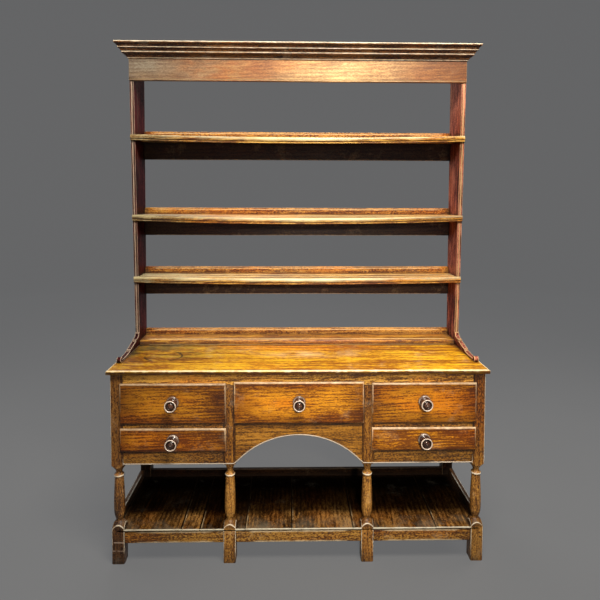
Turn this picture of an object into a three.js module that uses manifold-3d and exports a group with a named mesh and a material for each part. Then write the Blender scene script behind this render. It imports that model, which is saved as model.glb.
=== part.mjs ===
// Pot-board dresser: a drawer case on turned legs, carrying an open rack with three shelves
import * as THREE from 'three';
import { mergeVertices } from 'three/addons/utils/BufferGeometryUtils.js';
import Module from 'manifold-3d';

const wasm = await Module();
wasm.setup();

// Sizes are millimetres. X runs along the front, Y runs back from the face of the front legs, Z is up.
const clearance = 0.3;
const overrun = 6;
const arcSteps = 8;

// Drawer case and legs
const caseWidth = 1480;
const caseDepth = 440;
const legStock = 48;
const innerLegCentre = 275;
const caseUnderside = 404;
const railThickness = 26;
const bottomRailHeight = 62;
const lowerOpeningHeight = 75;
const dividerRailHeight = 36;
const upperOpeningHeight = 143;
const topRailHeight = 47;

// Turned stretch of a front leg
const legSquareDrop = 5;
const footBlockHeight = 141;
const footChamferHeight = 33;
const legShoulderHeight = 6;
const ringRadius = 19.2;
const neckRadius = 13;
const columnRadius = 17.4;
const bellyRadius = 21.4;
const ankleRadius = 13.5;
const turningSides = 24;

// Joints
const tenonThickness = 10;
const tenonLength = 22;
const tenonShoulder = 6;
const tongueThickness = 8;
const tongueDepth = 8;

// Panels of the case and what carries the drawers
const panelThickness = 16;
const panelInset = 8;
const backThickness = 14;
const ledgeReach = 20;
const ledgeHeight = 20;
const innerWebThickness = 20;
const webTenonLength = 14;

// Arched apron
const apronRise = 112;
const apronFoot = 5;

// Moulded lower edge of the bottom rails
const railBeadHeight = 12;
const railBeadReach = 3;

// Pot board
const potRailUnderside = 83;
const potRailHeight = 47;
const potRailThickness = 22;
const potRailSetback = 3;
const potBoardThickness = 9.5;
const potKerbRise = 33;
const potEndThickness = 18;
const potGroove = 8;
const potBoardShares = [0.176, 0.176, 0.129, 0.17, 0.231];

// Dresser top
const topThickness = 16;
const topEndOverhang = 12;
const topFrontOverhang = 15;
const topRearOverhang = 22;
const topEdgeRound = 5;

// Drawers
const lipThickness = 8;
const lipOverlap = 8;
const sideLipOverlap = 11;
const centreSideLip = 5;
const centreLipRise = 13;
const lipRound = 6;
const frontThickness = 18;
const frontLap = 7;
const drawerPlay = 1.5;
const boxHeadroom = 8;
const boxWall = 12;
const boxBottomThickness = 8;
const boxBottomRise = 6;
const boxRearGap = 43;

// Turned knobs
const knobRadius = 24;
const knobRimRadius = 21;
const knobDish = 5;
const knobBossRadius = 13;
const knobBossRise = 4;
const knobLength = 44;
const knobHeadThickness = 13;
const knobNeckRadius = 13;
const knobCollarRadius = 18;
const knobCollarThickness = 5;
const knobBaseRadius = 24.5;
const knobBaseThickness = 8;
const knobSpigotRadius = 8;
const knobSides = 24;
const upperKnobRise = 7;

// Rack
const rackProud = 1.5;
const rackSideThickness = 18;
const rackRearInset = 2;
const rackTopDepth = 174;
const rackFootDepth = 120;
const rackHeight = 1318;
const housingDepth = 6;

// Scrolled foot of a rack side
const footRise = 67;
const footReach = 248;
const footCurlRadius = 11;

// Shelves with their nosings and back rails
const topShelfHeight = 953;
const middleShelfHeight = 597;
const lowShelfHeight = 317;
const shelfThickness = 20;
const nosingHeight = 27;
const nosingReach = 9;
const nosingRound = 7;
const topShelfSag = 11;
const middleShelfSag = 14;
const lowShelfSag = 9;
const sagSteps = 20;
const backRailHeight = 130;
const backRailThickness = 15;
const backRailRise = 30;
const bottomShelfThickness = 22;
const bottomRailRise = 51;

// Frieze, cornice and top board
const friezeHeight = 133;
const friezeThickness = 18;
const friezeProud = 6;
const corniceLap = 42;
const corniceReach = 49.5;
const corniceHeight = 66;
const topBoardThickness = 12;

// Heights and places that follow from the sizes
const lowerOpeningBottom = caseUnderside + bottomRailHeight;
const lowerOpeningTop = lowerOpeningBottom + lowerOpeningHeight;
const upperOpeningBottom = lowerOpeningTop + dividerRailHeight;
const upperOpeningTop = upperOpeningBottom + upperOpeningHeight;
const caseTop = upperOpeningTop + topRailHeight;
const topUnderside = caseTop + clearance;
const topSurface = topUnderside + topThickness;
const rackFloor = topSurface + clearance;
const halfCase = caseWidth / 2;
const outerLegInside = halfCase - legStock;
const innerLegOutside = innerLegCentre + legStock / 2;
const innerLegInside = innerLegCentre - legStock / 2;
const rearLegFront = caseDepth - legStock;
const panelOutside = halfCase - panelInset;
const panelInside = panelOutside - panelThickness;
const backRear = caseDepth - panelInset;
const backFront = backRear - backThickness;
const potBoardUnderside = potRailUnderside + potRailHeight;
const potBoardTop = potBoardUnderside + potBoardThickness;
const potKerbTop = potBoardTop + potKerbRise;
const rackRear = caseDepth + topRearOverhang - rackRearInset;
const boxLength = backFront - boxRearGap - frontLap;
const halfRack = halfCase + rackProud;
const rackInside = halfRack - rackSideThickness;
const railFront = rackRear - backRailThickness;
const friezeUnderside = rackHeight - friezeHeight;
const corniceUnderside = rackHeight - corniceLap;
const knobReach = lipThickness + 2 * clearance + knobLength;
const middleOfDepth = (caseDepth + topRearOverhang - knobReach) / 2;

const finishes = {
  frame: new THREE.MeshStandardMaterial({ color: 0x7a4a22, roughness: 0.5, metalness: 0 }),
  drawer: new THREE.MeshStandardMaterial({ color: 0x8f5a26, roughness: 0.45, metalness: 0 }),
  top: new THREE.MeshStandardMaterial({ color: 0xb07a35, roughness: 0.35, metalness: 0 }),
  rack: new THREE.MeshStandardMaterial({ color: 0x6b4226, roughness: 0.5, metalness: 0 }),
  shelf: new THREE.MeshStandardMaterial({ color: 0x9c6a33, roughness: 0.45, metalness: 0 }),
  inside: new THREE.MeshStandardMaterial({ color: 0x5a3d24, roughness: 0.8, metalness: 0 }),
  potBoard: new THREE.MeshStandardMaterial({ color: 0x4a3322, roughness: 0.6, metalness: 0 }),
  knob: new THREE.MeshStandardMaterial({ color: 0x4b2a14, roughness: 0.3, metalness: 0 }),
};

// Turns a closed geometry into a solid that can be joined and cut
function solidOf(geometry) {
  const plain = geometry.clone();
  plain.deleteAttribute('normal');
  plain.deleteAttribute('uv');
  const merged = mergeVertices(plain);
  const corners = [];
  const index = merged.index.array;
  for (let i = 0; i < index.length; i += 3) {
    const [a, b, c] = [index[i], index[i + 1], index[i + 2]];
    if (a !== b && b !== c && c !== a) corners.push(a, b, c);
  }
  return new wasm.Manifold(new wasm.Mesh({
    numProp: 3,
    vertProperties: new Float32Array(merged.attributes.position.array),
    triVerts: new Uint32Array(corners),
  }));
}

// Turns a finished solid back into a geometry with flat faces
function geometryOf(solid) {
  const mesh = solid.getMesh();
  const geometry = new THREE.BufferGeometry();
  geometry.setAttribute('position', new THREE.BufferAttribute(mesh.vertProperties, 3));
  geometry.setIndex(new THREE.BufferAttribute(mesh.triVerts, 1));
  geometry.computeVertexNormals();
  return geometry;
}

// A rectangular block between pairs of coordinates, given in any order
function block([x0, x1], [y0, y1], [z0, z1]) {
  const box = new THREE.BoxGeometry(Math.abs(x1 - x0), Math.abs(y1 - y0), Math.abs(z1 - z0));
  return solidOf(box.translate((x0 + x1) / 2, (y0 + y1) / 2, (z0 + z1) / 2));
}

function shapeOf(points) {
  return new THREE.Shape(points.map(([a, b]) => new THREE.Vector2(a, b)));
}

// An outline of [y, z] points run from one x to another
function alongX(points, [x0, x1]) {
  const geometry = new THREE.ExtrudeGeometry(shapeOf(points), { depth: x1 - x0, bevelEnabled: false });
  const turn = new THREE.Matrix4().makeBasis(
    new THREE.Vector3(0, 1, 0),
    new THREE.Vector3(0, 0, 1),
    new THREE.Vector3(1, 0, 0),
  );
  return solidOf(geometry.applyMatrix4(turn).translate(x0, 0, 0));
}

// An outline of [x, z] points run from one y to another
function alongY(points, [y0, y1]) {
  const geometry = new THREE.ExtrudeGeometry(shapeOf(points), { depth: y1 - y0, bevelEnabled: false });
  return solidOf(geometry.rotateX(Math.PI / 2).translate(0, y1, 0));
}

// Points on a circular arc, both ends included
function arc([a, b], radius, from, to, steps = arcSteps) {
  const points = [];
  for (let i = 0; i <= steps; i += 1) {
    const angle = from + ((to - from) * i) / steps;
    points.push([a + radius * Math.cos(angle), b + radius * Math.sin(angle)]);
  }
  return points;
}

// A solid of revolution about Z from [radius, height] points that start and end on the axis
function turned(points, sides) {
  const profile = points.map(([radius, height]) => new THREE.Vector2(radius, height));
  return solidOf(new THREE.LatheGeometry(profile, sides).rotateX(Math.PI / 2));
}

// Square stock whose half width changes with height, as [half width, height] points
function squared(points) {
  const profile = points.map(([half, height]) => new THREE.Vector2(half * Math.SQRT2, height));
  return solidOf(new THREE.LatheGeometry(profile, 4).rotateX(Math.PI / 2).rotateZ(Math.PI / 4));
}

function joined(solids) {
  return solids.reduce((whole, next) => whole.add(next));
}

function cutBy(solid, cutters) {
  return cutters.reduce((rest, cutter) => rest.subtract(cutter), solid);
}

const grow = ([low, high], by) => [Math.min(low, high) - by, Math.max(low, high) + by];

// Rectangular tenon, and the mortise that takes it with clearance on every side
function tenonBlock({ x, y, z }) {
  return block(x, y, z);
}

function mortiseBlock({ x, y, z }) {
  return block(grow(x, clearance), grow(y, clearance), grow(z, clearance));
}

const dresser = new THREE.Group();
const caseGroup = new THREE.Group();
const rackGroup = new THREE.Group();
dresser.position.y = -middleOfDepth;
rackGroup.position.z = rackFloor;
dresser.add(caseGroup, rackGroup);

function place(group, name, solid, finish, position = [0, 0, 0]) {
  const mesh = new THREE.Mesh(geometryOf(solid), finish.clone());
  mesh.name = name;
  mesh.position.set(...position);
  group.add(mesh);
}

const sides = [['left', -1], ['right', 1]];

// Tenons of a front rail whose two ends reach the legs at x0 and x1
function railTenons([x0, x1], [z0, z1]) {
  const y = [railThickness / 2 - tenonThickness / 2, railThickness / 2 + tenonThickness / 2];
  const z = [z0 + tenonShoulder, z1 - tenonShoulder];
  return [
    { x: [x0 - tenonLength + clearance, x0 + overrun], y, z },
    { x: [x1 - overrun, x1 + tenonLength - clearance], y, z },
  ];
}

const outerBay = [-outerLegInside, -innerLegOutside];
const centreBay = [-innerLegInside, innerLegInside];
const bayOf = (side) => (side < 0 ? outerBay : [innerLegOutside, outerLegInside]);

const topRailSpan = [-outerLegInside, outerLegInside];
const topRailZ = [upperOpeningTop, caseTop];
const dividerZ = [lowerOpeningTop, upperOpeningBottom];
const bottomRailZ = [caseUnderside, lowerOpeningBottom];
const apronZ = [caseUnderside + apronFoot, upperOpeningBottom];
const apronTenonZ = [lowerOpeningBottom, upperOpeningBottom];

// Tenon on top of an inner leg, which enters the top rail from below
function legHeadTenon(side) {
  const centre = side * innerLegCentre;
  const half = legStock / 2 - tenonShoulder;
  const middle = railThickness / 2;
  return {
    x: [centre - half, centre + half],
    y: [middle - tenonThickness / 2, middle + tenonThickness / 2],
    z: [upperOpeningTop - overrun, upperOpeningTop + tenonLength],
  };
}

// Bead outline that gives the lower edge of a rail its moulding
function beadedRail([z0, z1]) {
  const half = railBeadHeight / 2;
  const nose = arc([0, z0 + half], half, -Math.PI / 2, -1.5 * Math.PI)
    .map(([y, z]) => [(y * railBeadReach) / half, z]);
  return [...nose, [0, z1], [railThickness, z1], [railThickness, z0]];
}

function topRail() {
  const body = block(grow(topRailSpan, -clearance), [0, railThickness], topRailZ);
  const tenons = railTenons(topRailSpan, topRailZ).map(tenonBlock);
  const mortises = sides.map(([, side]) => {
    const { x, y, z } = legHeadTenon(side);
    return mortiseBlock({ x, y, z });
  });
  return cutBy(joined([body, ...tenons]), mortises);
}

function dividerRail(bay) {
  const body = block(grow(bay, -clearance), [0, railThickness], dividerZ);
  return joined([body, ...railTenons(bay, dividerZ).map(tenonBlock)]);
}

function bottomRail(bay) {
  const body = alongX(beadedRail(bottomRailZ), grow(bay, -clearance));
  return joined([body, ...railTenons(bay, bottomRailZ).map(tenonBlock)]);
}

// Apron under the middle drawer, cut to a flat arch
function archedApron() {
  const [x0, x1] = grow(centreBay, -clearance);
  const [z0, z1] = apronZ;
  const halfSpan = innerLegInside;
  const radius = (halfSpan ** 2 + apronRise ** 2) / (2 * apronRise);
  const centre = z0 + apronRise - radius;
  const reach = Math.asin((x1 - clearance) / radius);
  const steps = 3 * arcSteps;
  const curve = arc([0, centre], radius, Math.PI / 2 + reach, Math.PI / 2 - reach, steps);
  const body = alongY([[x0, z1], [x0, z0], ...curve, [x1, z0], [x1, z1]], [0, railThickness]);
  return joined([body, ...railTenons(centreBay, apronTenonZ).map(tenonBlock)]);
}

// Legs

// Outline of the turned stretch: shares of its length from the bottom, with the radius at each
function turningProfile(length) {
  const shares = [
    [0, ankleRadius],
    [0.04, ankleRadius],
    [0.13, (bellyRadius + ankleRadius) / 2],
    [0.26, (3 * bellyRadius + ankleRadius) / 4],
    [0.38, bellyRadius],
    [0.5, bellyRadius],
    [0.64, (columnRadius + bellyRadius) / 2],
    [0.765, columnRadius],
    [0.785, ringRadius],
    [0.81, ringRadius],
    [0.83, (ringRadius + neckRadius) / 2],
    [0.86, neckRadius],
    [0.925, (ringRadius + neckRadius) / 2],
    [0.95, ringRadius],
    [1, ringRadius],
  ];
  return shares.map(([share, radius]) => [radius, length * share]);
}

// A front leg as it leaves the lathe, centred on x, standing on the floor
function frontLegBlank(x, top) {
  const half = legStock / 2;
  const squareBottom = caseUnderside - legSquareDrop;
  const turningBottom = footBlockHeight + footChamferHeight;
  const length = squareBottom - turningBottom;
  const footBlock = squared([
    [0, 0],
    [half, 0],
    [half, footBlockHeight],
    [ankleRadius, turningBottom],
    [0, turningBottom],
  ]);
  const post = squared([
    [0, squareBottom],
    [ringRadius, squareBottom],
    [half, squareBottom + legShoulderHeight],
    [half, top],
    [0, top],
  ]);
  const core = [[0, -overrun], [ankleRadius, -overrun]];
  const head = [[ringRadius, length + overrun], [0, length + overrun]];
  const turning = turned([...core, ...turningProfile(length), ...head], turningSides);
  return joined([footBlock, turning.translate([0, 0, turningBottom]), post]).translate([x, half, 0]);
}

// Tongue of an end board or the back board, as a groove in the leg that takes it
function endGroove(side, y) {
  const middle = side * (panelOutside - panelThickness / 2);
  const x = [middle - tongueThickness / 2, middle + tongueThickness / 2];
  return block(grow(x, clearance), y, [caseUnderside - clearance, caseTop + overrun]);
}

function backGroove(side) {
  const middle = backRear - backThickness / 2;
  const y = [middle - tongueThickness / 2, middle + tongueThickness / 2];
  const x = [side * (outerLegInside + tongueDepth), side * (outerLegInside - overrun)];
  return block(x, grow(y, clearance), [caseUnderside - clearance, caseTop + overrun]);
}

// Front rails of the pot board sit between the foot blocks
const potRailZ = [potRailUnderside, potBoardUnderside];

function potTenons([x0, x1]) {
  const middle = potRailSetback + potRailThickness / 2;
  const y = [middle - tenonThickness / 2, middle + tenonThickness / 2];
  const z = [potRailZ[0] + tenonShoulder, potRailZ[1] - tenonShoulder];
  return [
    { x: [x0 - tenonLength + clearance, x0 + overrun], y, z },
    { x: [x1 - overrun, x1 + tenonLength - clearance], y, z },
  ];
}

// End rails of the pot board run from front leg to rear leg, flush with their outer faces
function potEndTenons(side) {
  const middle = side * (halfCase - potEndThickness / 2);
  const x = [middle - tenonThickness / 2, middle + tenonThickness / 2];
  const z = [potRailZ[0] + tenonShoulder, potRailZ[1] - tenonShoulder];
  const short = tenonLength / 2;
  return [
    { x, y: [legStock - short, legStock + overrun], z },
    { x, y: [rearLegFront - overrun, rearLegFront + short], z },
  ];
}

function potRearTenons() {
  const y = [rearLegFront + potGroove, rearLegFront + potGroove + tenonThickness];
  const z = [potRailZ[0] + tenonShoulder, potRailZ[1] - tenonShoulder];
  return [
    { x: [-outerLegInside - tenonLength + clearance, -outerLegInside + overrun], y, z },
    { x: [outerLegInside - overrun, outerLegInside + tenonLength - clearance], y, z },
  ];
}

function outerFrontLeg(side) {
  const pick = side < 0 ? 0 : 1;
  const bay = bayOf(side);
  const mortises = [
    railTenons(topRailSpan, topRailZ)[pick],
    railTenons(bay, dividerZ)[pick],
    railTenons(bay, bottomRailZ)[pick],
    potTenons(bay)[pick],
    potEndTenons(side)[0],
  ].map(mortiseBlock);
  const blank = frontLegBlank(side * (halfCase - legStock / 2), caseTop);
  return cutBy(blank, [...mortises, endGroove(side, [legStock - tongueDepth, legStock + overrun])]);
}

// Tenon that carries the front end of an inner runner board in its leg
function webTenon(side) {
  const centre = side * innerLegCentre;
  return {
    x: [centre - tenonThickness / 2, centre + tenonThickness / 2],
    y: [legStock - webTenonLength, legStock + overrun],
    z: [lowerOpeningBottom + tenonShoulder, upperOpeningTop - tenonShoulder],
  };
}

function innerFrontLeg(side) {
  const outward = side < 0 ? 1 : 0;
  const inward = side < 0 ? 0 : 1;
  const bay = bayOf(side);
  const mortises = [
    railTenons(bay, dividerZ)[outward],
    railTenons(bay, bottomRailZ)[outward],
    potTenons(bay)[outward],
    railTenons(centreBay, apronTenonZ)[inward],
    potTenons(centreBay)[inward],
    webTenon(side),
  ].map(mortiseBlock);
  const blank = frontLegBlank(side * innerLegCentre, upperOpeningTop - clearance);
  return cutBy(joined([blank, tenonBlock(legHeadTenon(side))]), mortises);
}

function rearLeg(side) {
  const blank = block([side * outerLegInside, side * halfCase], [rearLegFront, caseDepth], [0, caseTop]);
  const pick = side < 0 ? 0 : 1;
  return cutBy(blank, [
    mortiseBlock(potEndTenons(side)[1]),
    mortiseBlock(potRearTenons()[pick]),
    endGroove(side, [rearLegFront - overrun, rearLegFront + tongueDepth]),
    backGroove(side),
  ]);
}

// Boards that close the case, with tongues in the legs

function endBoard(side) {
  const z = [caseUnderside, caseTop];
  const middle = side * (panelOutside - panelThickness / 2);
  const tongue = [middle - tongueThickness / 2, middle + tongueThickness / 2];
  const tongueY = [legStock - tongueDepth + clearance, rearLegFront + tongueDepth - clearance];
  return joined([
    block([side * panelOutside, side * panelInside], [legStock + clearance, rearLegFront - clearance], z),
    block(tongue, tongueY, z),
  ]);
}

function backBoard() {
  const z = [caseUnderside, caseTop];
  const middle = backRear - backThickness / 2;
  const half = outerLegInside - clearance;
  const tongueHalf = outerLegInside + tongueDepth - clearance;
  return joined([
    block([-half, half], [backFront, backRear], z),
    block([-tongueHalf, tongueHalf], [middle - tongueThickness / 2, middle + tongueThickness / 2], z),
  ]);
}

// Dresser top with rounded front and end edges
function dresserTop() {
  const half = halfCase + topEndOverhang;
  const front = -topFrontOverhang;
  const rear = caseDepth + topRearOverhang;
  const [z0, z1] = [topUnderside, topSurface];
  const round = Math.min(topEdgeRound, topThickness / 2);
  const nose = arc([front + round, z1 - round], round, Math.PI, Math.PI / 2, arcSteps / 2);
  const depthwise = alongX([[rear, z1], [rear, z0], [front, z0], ...nose], [-half, half]);
  const right = arc([half - round, z1 - round], round, 0, Math.PI / 2, arcSteps / 2);
  const left = right.map(([x, z]) => [-x, z]).reverse();
  const lengthwise = alongY([[-half, z0], [half, z0], ...right, ...left], [front, rear]);
  return depthwise.intersect(lengthwise);
}

// Boards with ledges that the drawer sides slide on

const ledgeLevels = [
  [lowerOpeningBottom - ledgeHeight, lowerOpeningBottom],
  dividerZ,
  [upperOpeningTop, caseTop],
];

function outerRunnerBoard(side) {
  const y = [legStock + clearance, rearLegFront - clearance];
  const web = [side * (panelInside - clearance), side * outerLegInside];
  const ledge = [side * outerLegInside, side * (outerLegInside - ledgeReach)];
  return joined([
    block(web, y, [ledgeLevels[0][0], caseTop]),
    ...ledgeLevels.map((z) => block(ledge, y, z)),
  ]);
}

function innerRunnerBoard(side) {
  const y = [legStock + clearance, backFront - clearance];
  const centre = side * innerLegCentre;
  const web = [centre - innerWebThickness / 2, centre + innerWebThickness / 2];
  const outward = [centre, side * (innerLegOutside + ledgeReach)];
  const inward = [centre, side * (innerLegInside - ledgeReach)];
  return joined([
    block(web, y, [ledgeLevels[0][0], caseTop]),
    ...ledgeLevels.map((z) => block(outward, y, z)),
    ...ledgeLevels.slice(1).map((z) => block(inward, y, z)),
    tenonBlock(webTenon(side)),
  ]);
}

// Pot board

function potFrontRail(bay) {
  const y = [potRailSetback, potRailSetback + potRailThickness];
  return joined([block(grow(bay, -clearance), y, potRailZ), ...potTenons(bay).map(tenonBlock)]);
}

function potEndRail(side) {
  const x = [side * halfCase, side * (halfCase - potEndThickness)];
  const y = [legStock + clearance, rearLegFront - clearance];
  return joined([block(x, y, [potRailUnderside, potKerbTop]), ...potEndTenons(side).map(tenonBlock)]);
}

// Rear rail with a groove in its face for the ends of the boards
function potRearRail() {
  const half = outerLegInside - clearance;
  const y = [rearLegFront, rearLegFront + potGroove + tenonThickness];
  const groove = block(
    [-half - overrun, half + overrun],
    [rearLegFront - overrun, rearLegFront + potGroove],
    grow([potBoardUnderside, potBoardTop + clearance], clearance),
  );
  const body = cutBy(block([-half, half], y, [potRailUnderside, potKerbTop]), [groove]);
  return joined([body, ...potRearTenons().map(tenonBlock)]);
}

// Room that the boards leave round a foot block or a rear leg
function legRoom(x, y0) {
  const half = legStock / 2;
  const y = grow([y0, y0 + legStock], clearance);
  const z = grow([potBoardUnderside, potBoardTop], overrun);
  return block(grow([x - half, x + half], clearance), y, z);
}

function potBoards() {
  const half = halfCase - potEndThickness - clearance;
  const legs = [-1, 1].flatMap((side) => [
    legRoom(side * (halfCase - legStock / 2), 0),
    legRoom(side * innerLegCentre, 0),
    legRoom(side * (halfCase - legStock / 2), rearLegFront),
  ]);
  const edges = potBoardShares.reduce((list, share) => [...list, list[list.length - 1] + 2 * half * share], [-half]);
  edges.push(half);
  return edges.slice(1).map((edge, i) => {
    const x = [edges[i] + (i > 0 ? clearance : 0), edge];
    const y = [0, rearLegFront + potGroove - clearance];
    const z = [potBoardUnderside + clearance, potBoardTop + clearance];
    return cutBy(block(x, y, z), legs);
  });
}

// Drawers, each in its own group with its origin at the middle of the opening's lower edge

// A plate with a rounded edge all round its front, spanning x and z, with its back at y1
function lippedPlate([x0, x1], [z0, z1], [y0, y1]) {
  const round = Math.min(lipRound, y1 - y0);
  const steps = arcSteps / 2;
  const across = [
    [x1, y1],
    [x0, y1],
    ...arc([x0 + round, y0 + round], round, Math.PI, 1.5 * Math.PI, steps),
    ...arc([x1 - round, y0 + round], round, -Math.PI / 2, 0, steps),
  ];
  const upright = [
    [y1, z1],
    [y1, z0],
    ...arc([y0 + round, z0 + round], round, 1.5 * Math.PI, Math.PI, steps),
    ...arc([y0 + round, z1 - round], round, Math.PI, Math.PI / 2, steps),
  ];
  const shape = shapeOf(across);
  const geometry = new THREE.ExtrudeGeometry(shape, { depth: z1 - z0, bevelEnabled: false });
  return solidOf(geometry.translate(0, 0, z0)).intersect(alongX(upright, [x0, x1]));
}

function drawerFront({ width, height, sideLip, topLip, knobHeight }) {
  const half = width / 2;
  const bodyHalf = half - drawerPlay;
  const z = [clearance, height - drawerPlay];
  const lip = lippedPlate(
    [-half - sideLip, half + sideLip],
    [-lipOverlap, height + topLip],
    [-lipThickness - clearance, -clearance],
  );
  const body = block([-bodyHalf, bodyHalf], [-clearance - lipThickness / 2, frontThickness], z);
  const wallRoom = boxWall + clearance;
  const laps = [-1, 1].map((side) => block(
    [side * (bodyHalf - wallRoom), side * (bodyHalf + overrun)],
    [frontLap - clearance, frontThickness + overrun],
    grow(z, overrun),
  ));
  const groove = block(
    grow([-bodyHalf, bodyHalf], overrun),
    [frontThickness - frontLap, frontThickness + overrun],
    grow([boxBottomRise, boxBottomRise + boxBottomThickness + clearance], clearance),
  );
  const bore = new THREE.CylinderGeometry(
    knobSpigotRadius + clearance,
    knobSpigotRadius + clearance,
    frontThickness + lipThickness + 2 * overrun,
    knobSides,
  );
  const boreCutter = solidOf(bore.translate(0, (frontThickness - lipThickness) / 2, knobHeight));
  return cutBy(joined([lip, body]), [...laps, groove, boreCutter]);
}

// Sides, back and bottom of a drawer
function drawerBox({ width, height }) {
  const half = width / 2 - drawerPlay;
  const inner = half - boxWall;
  const rear = frontLap + boxLength;
  const z = [clearance, height - boxHeadroom];
  const bottomZ = [boxBottomRise + clearance, boxBottomRise + clearance + boxBottomThickness];
  return joined([
    block([-half, -inner], [frontLap, rear], z),
    block([inner, half], [frontLap, rear], z),
    block([-half, half], [rear - boxWall, rear], z),
    block([-inner, inner], [frontThickness + clearance, rear], bottomZ),
    block([-inner + clearance, inner - clearance], [frontThickness - frontLap + clearance, rear], bottomZ),
  ]);
}

// Knob turned about Z, its spigot pointing down from the origin at the drawer's face
function knobSolid() {
  const dishRadius = (knobRimRadius + knobBossRadius) / 2;
  const headBottom = knobLength - knobHeadThickness;
  const collarBottom = headBottom - knobCollarThickness;
  const spigotEnd = -(lipThickness + frontThickness);
  return turned([
    [0, spigotEnd],
    [knobSpigotRadius, spigotEnd],
    [knobSpigotRadius, 0],
    [knobBaseRadius, 0],
    [knobBaseRadius, knobBaseThickness / 2],
    [knobCollarRadius, knobBaseThickness],
    [knobNeckRadius, 1.5 * knobBaseThickness],
    [knobNeckRadius, collarBottom],
    [knobCollarRadius, collarBottom],
    [knobCollarRadius, headBottom],
    [knobRadius, (2 * headBottom + knobLength) / 3],
    [knobRadius, knobLength - knobDish],
    [knobRimRadius, knobLength],
    [dishRadius, knobLength - knobDish],
    [knobBossRadius, knobLength - knobDish],
    [knobBossRadius / 2, knobLength - knobDish + knobBossRise],
    [0, knobLength - knobDish + knobBossRise],
  ], knobSides);
}

const drawers = [
  { name: 'left_upper', centre: -1, upper: true },
  { name: 'left_lower', centre: -1, upper: false },
  { name: 'centre', centre: 0, upper: true },
  { name: 'right_upper', centre: 1, upper: true },
  { name: 'right_lower', centre: 1, upper: false },
];

function addDrawer({ name, centre, upper }) {
  const middle = (outerLegInside + innerLegOutside) / 2;
  const height = upper ? upperOpeningHeight : lowerOpeningHeight;
  const width = centre === 0 ? 2 * innerLegInside : outerLegInside - innerLegOutside;
  const sideLip = centre === 0 ? centreSideLip : sideLipOverlap;
  const topLip = centre === 0 ? centreLipRise : lipOverlap;
  const knobHeight = height / 2 + (upper ? upperKnobRise : 0);
  const group = new THREE.Group();
  group.position.set(centre * middle, 0, upper ? upperOpeningBottom : lowerOpeningBottom);
  caseGroup.add(group);
  const front = drawerFront({ width, height, sideLip, topLip, knobHeight });
  place(group, `drawer_front_${name}`, front, finishes.drawer);
  place(group, `drawer_box_${name}`, drawerBox({ width, height }), finishes.inside);
  const knob = knobSolid().rotate([90, 0, 0]);
  const face = -lipThickness - 2 * clearance;
  place(group, `drawer_knob_${name}`, knob, finishes.knob, [0, face, knobHeight]);
}

// Rack, in its own group with its origin on the dresser top

// Front edge of a rack side at a height: the sides grow deeper towards the top
function rackFront(height) {
  const share = (height - footRise) / (rackHeight - footRise);
  return rackRear - rackFootDepth - (rackTopDepth - rackFootDepth) * share;
}

const friezeFront = rackFront(friezeUnderside) - friezeProud;
const friezeRear = friezeFront + friezeThickness;

// Low scrolled foot, from the front edge of the side down to the toe, as [y, z] points:
// stepped curves with three small ledges, then a thin run that ends in a curl
function footOutline() {
  const front = rackFront(footRise);
  const shares = [
    [0, 1],
    [0, 0.86],
    [0.035, 0.86],
    [0.035, 0.75],
    [0.05, 0.68],
    [0.08, 0.625],
    [0.13, 0.59],
    [0.185, 0.58],
    [0.185, 0.54],
    [0.215, 0.54],
    [0.215, 0.47],
    [0.25, 0.455],
    [0.31, 0.42],
    [0.37, 0.37],
    [0.43, 0.31],
    [0.48, 0.28],
    [0.52, 0.27],
    [0.52, 0.235],
    [0.555, 0.235],
    [0.555, 0.19],
    [0.6, 0.165],
    [0.68, 0.14],
    [0.8, 0.12],
  ];
  const steps = shares.map(([reach, rise]) => [front - footReach * reach, footRise * rise]);
  const runHeight = steps[steps.length - 1][1];
  const curlCentre = [front - footReach, footCurlRadius];
  const lift = Math.asin((footCurlRadius - runHeight) / footCurlRadius);
  const curl = arc(curlCentre, footCurlRadius, -lift, 1.5 * Math.PI, 2 * arcSteps);
  return [...steps, ...curl];
}

function shelfSpan(height) {
  const nosingRear = rackFront(height) - clearance;
  return { height, nosingRear, front: nosingRear - nosingReach, rear: railFront - clearance };
}

const shelves = [
  { name: 'top', ...shelfSpan(topShelfHeight), sag: topShelfSag },
  { name: 'middle', ...shelfSpan(middleShelfHeight), sag: middleShelfSag },
  { name: 'low', ...shelfSpan(lowShelfHeight), sag: lowShelfSag },
];

const shelfRails = shelves.map(({ name, height }) => ({
  name: `shelf_back_rail_${name}`,
  z: [height + backRailRise - backRailHeight, height + backRailRise],
}));
const rackRails = [...shelfRails, { name: 'bottom_back_rail', z: [0, bottomRailRise] }];

function rackSide(side) {
  const outline = [
    [rackRear, 0],
    [rackRear, rackHeight],
    [friezeRear + clearance, rackHeight],
    [friezeRear + clearance, friezeUnderside - clearance],
    [rackFront(friezeUnderside), friezeUnderside - clearance],
    ...footOutline(),
  ];
  const blank = alongX(outline, side < 0 ? [-halfRack, -rackInside] : [rackInside, halfRack]);
  const x = [side * (rackInside - overrun), side * (rackInside + housingDepth + clearance)];
  const shelfHousings = shelves.map(({ height, rear }) => block(
    x,
    [0, rear + clearance],
    grow([height - shelfThickness, height], clearance),
  ));
  const railHousings = rackRails.map(({ z }) => block(
    x,
    [railFront - clearance, rackRear + overrun],
    [z[0] - clearance, z[1] + clearance],
  ));
  return cutBy(blank, [...shelfHousings, ...railHousings]);
}

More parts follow.
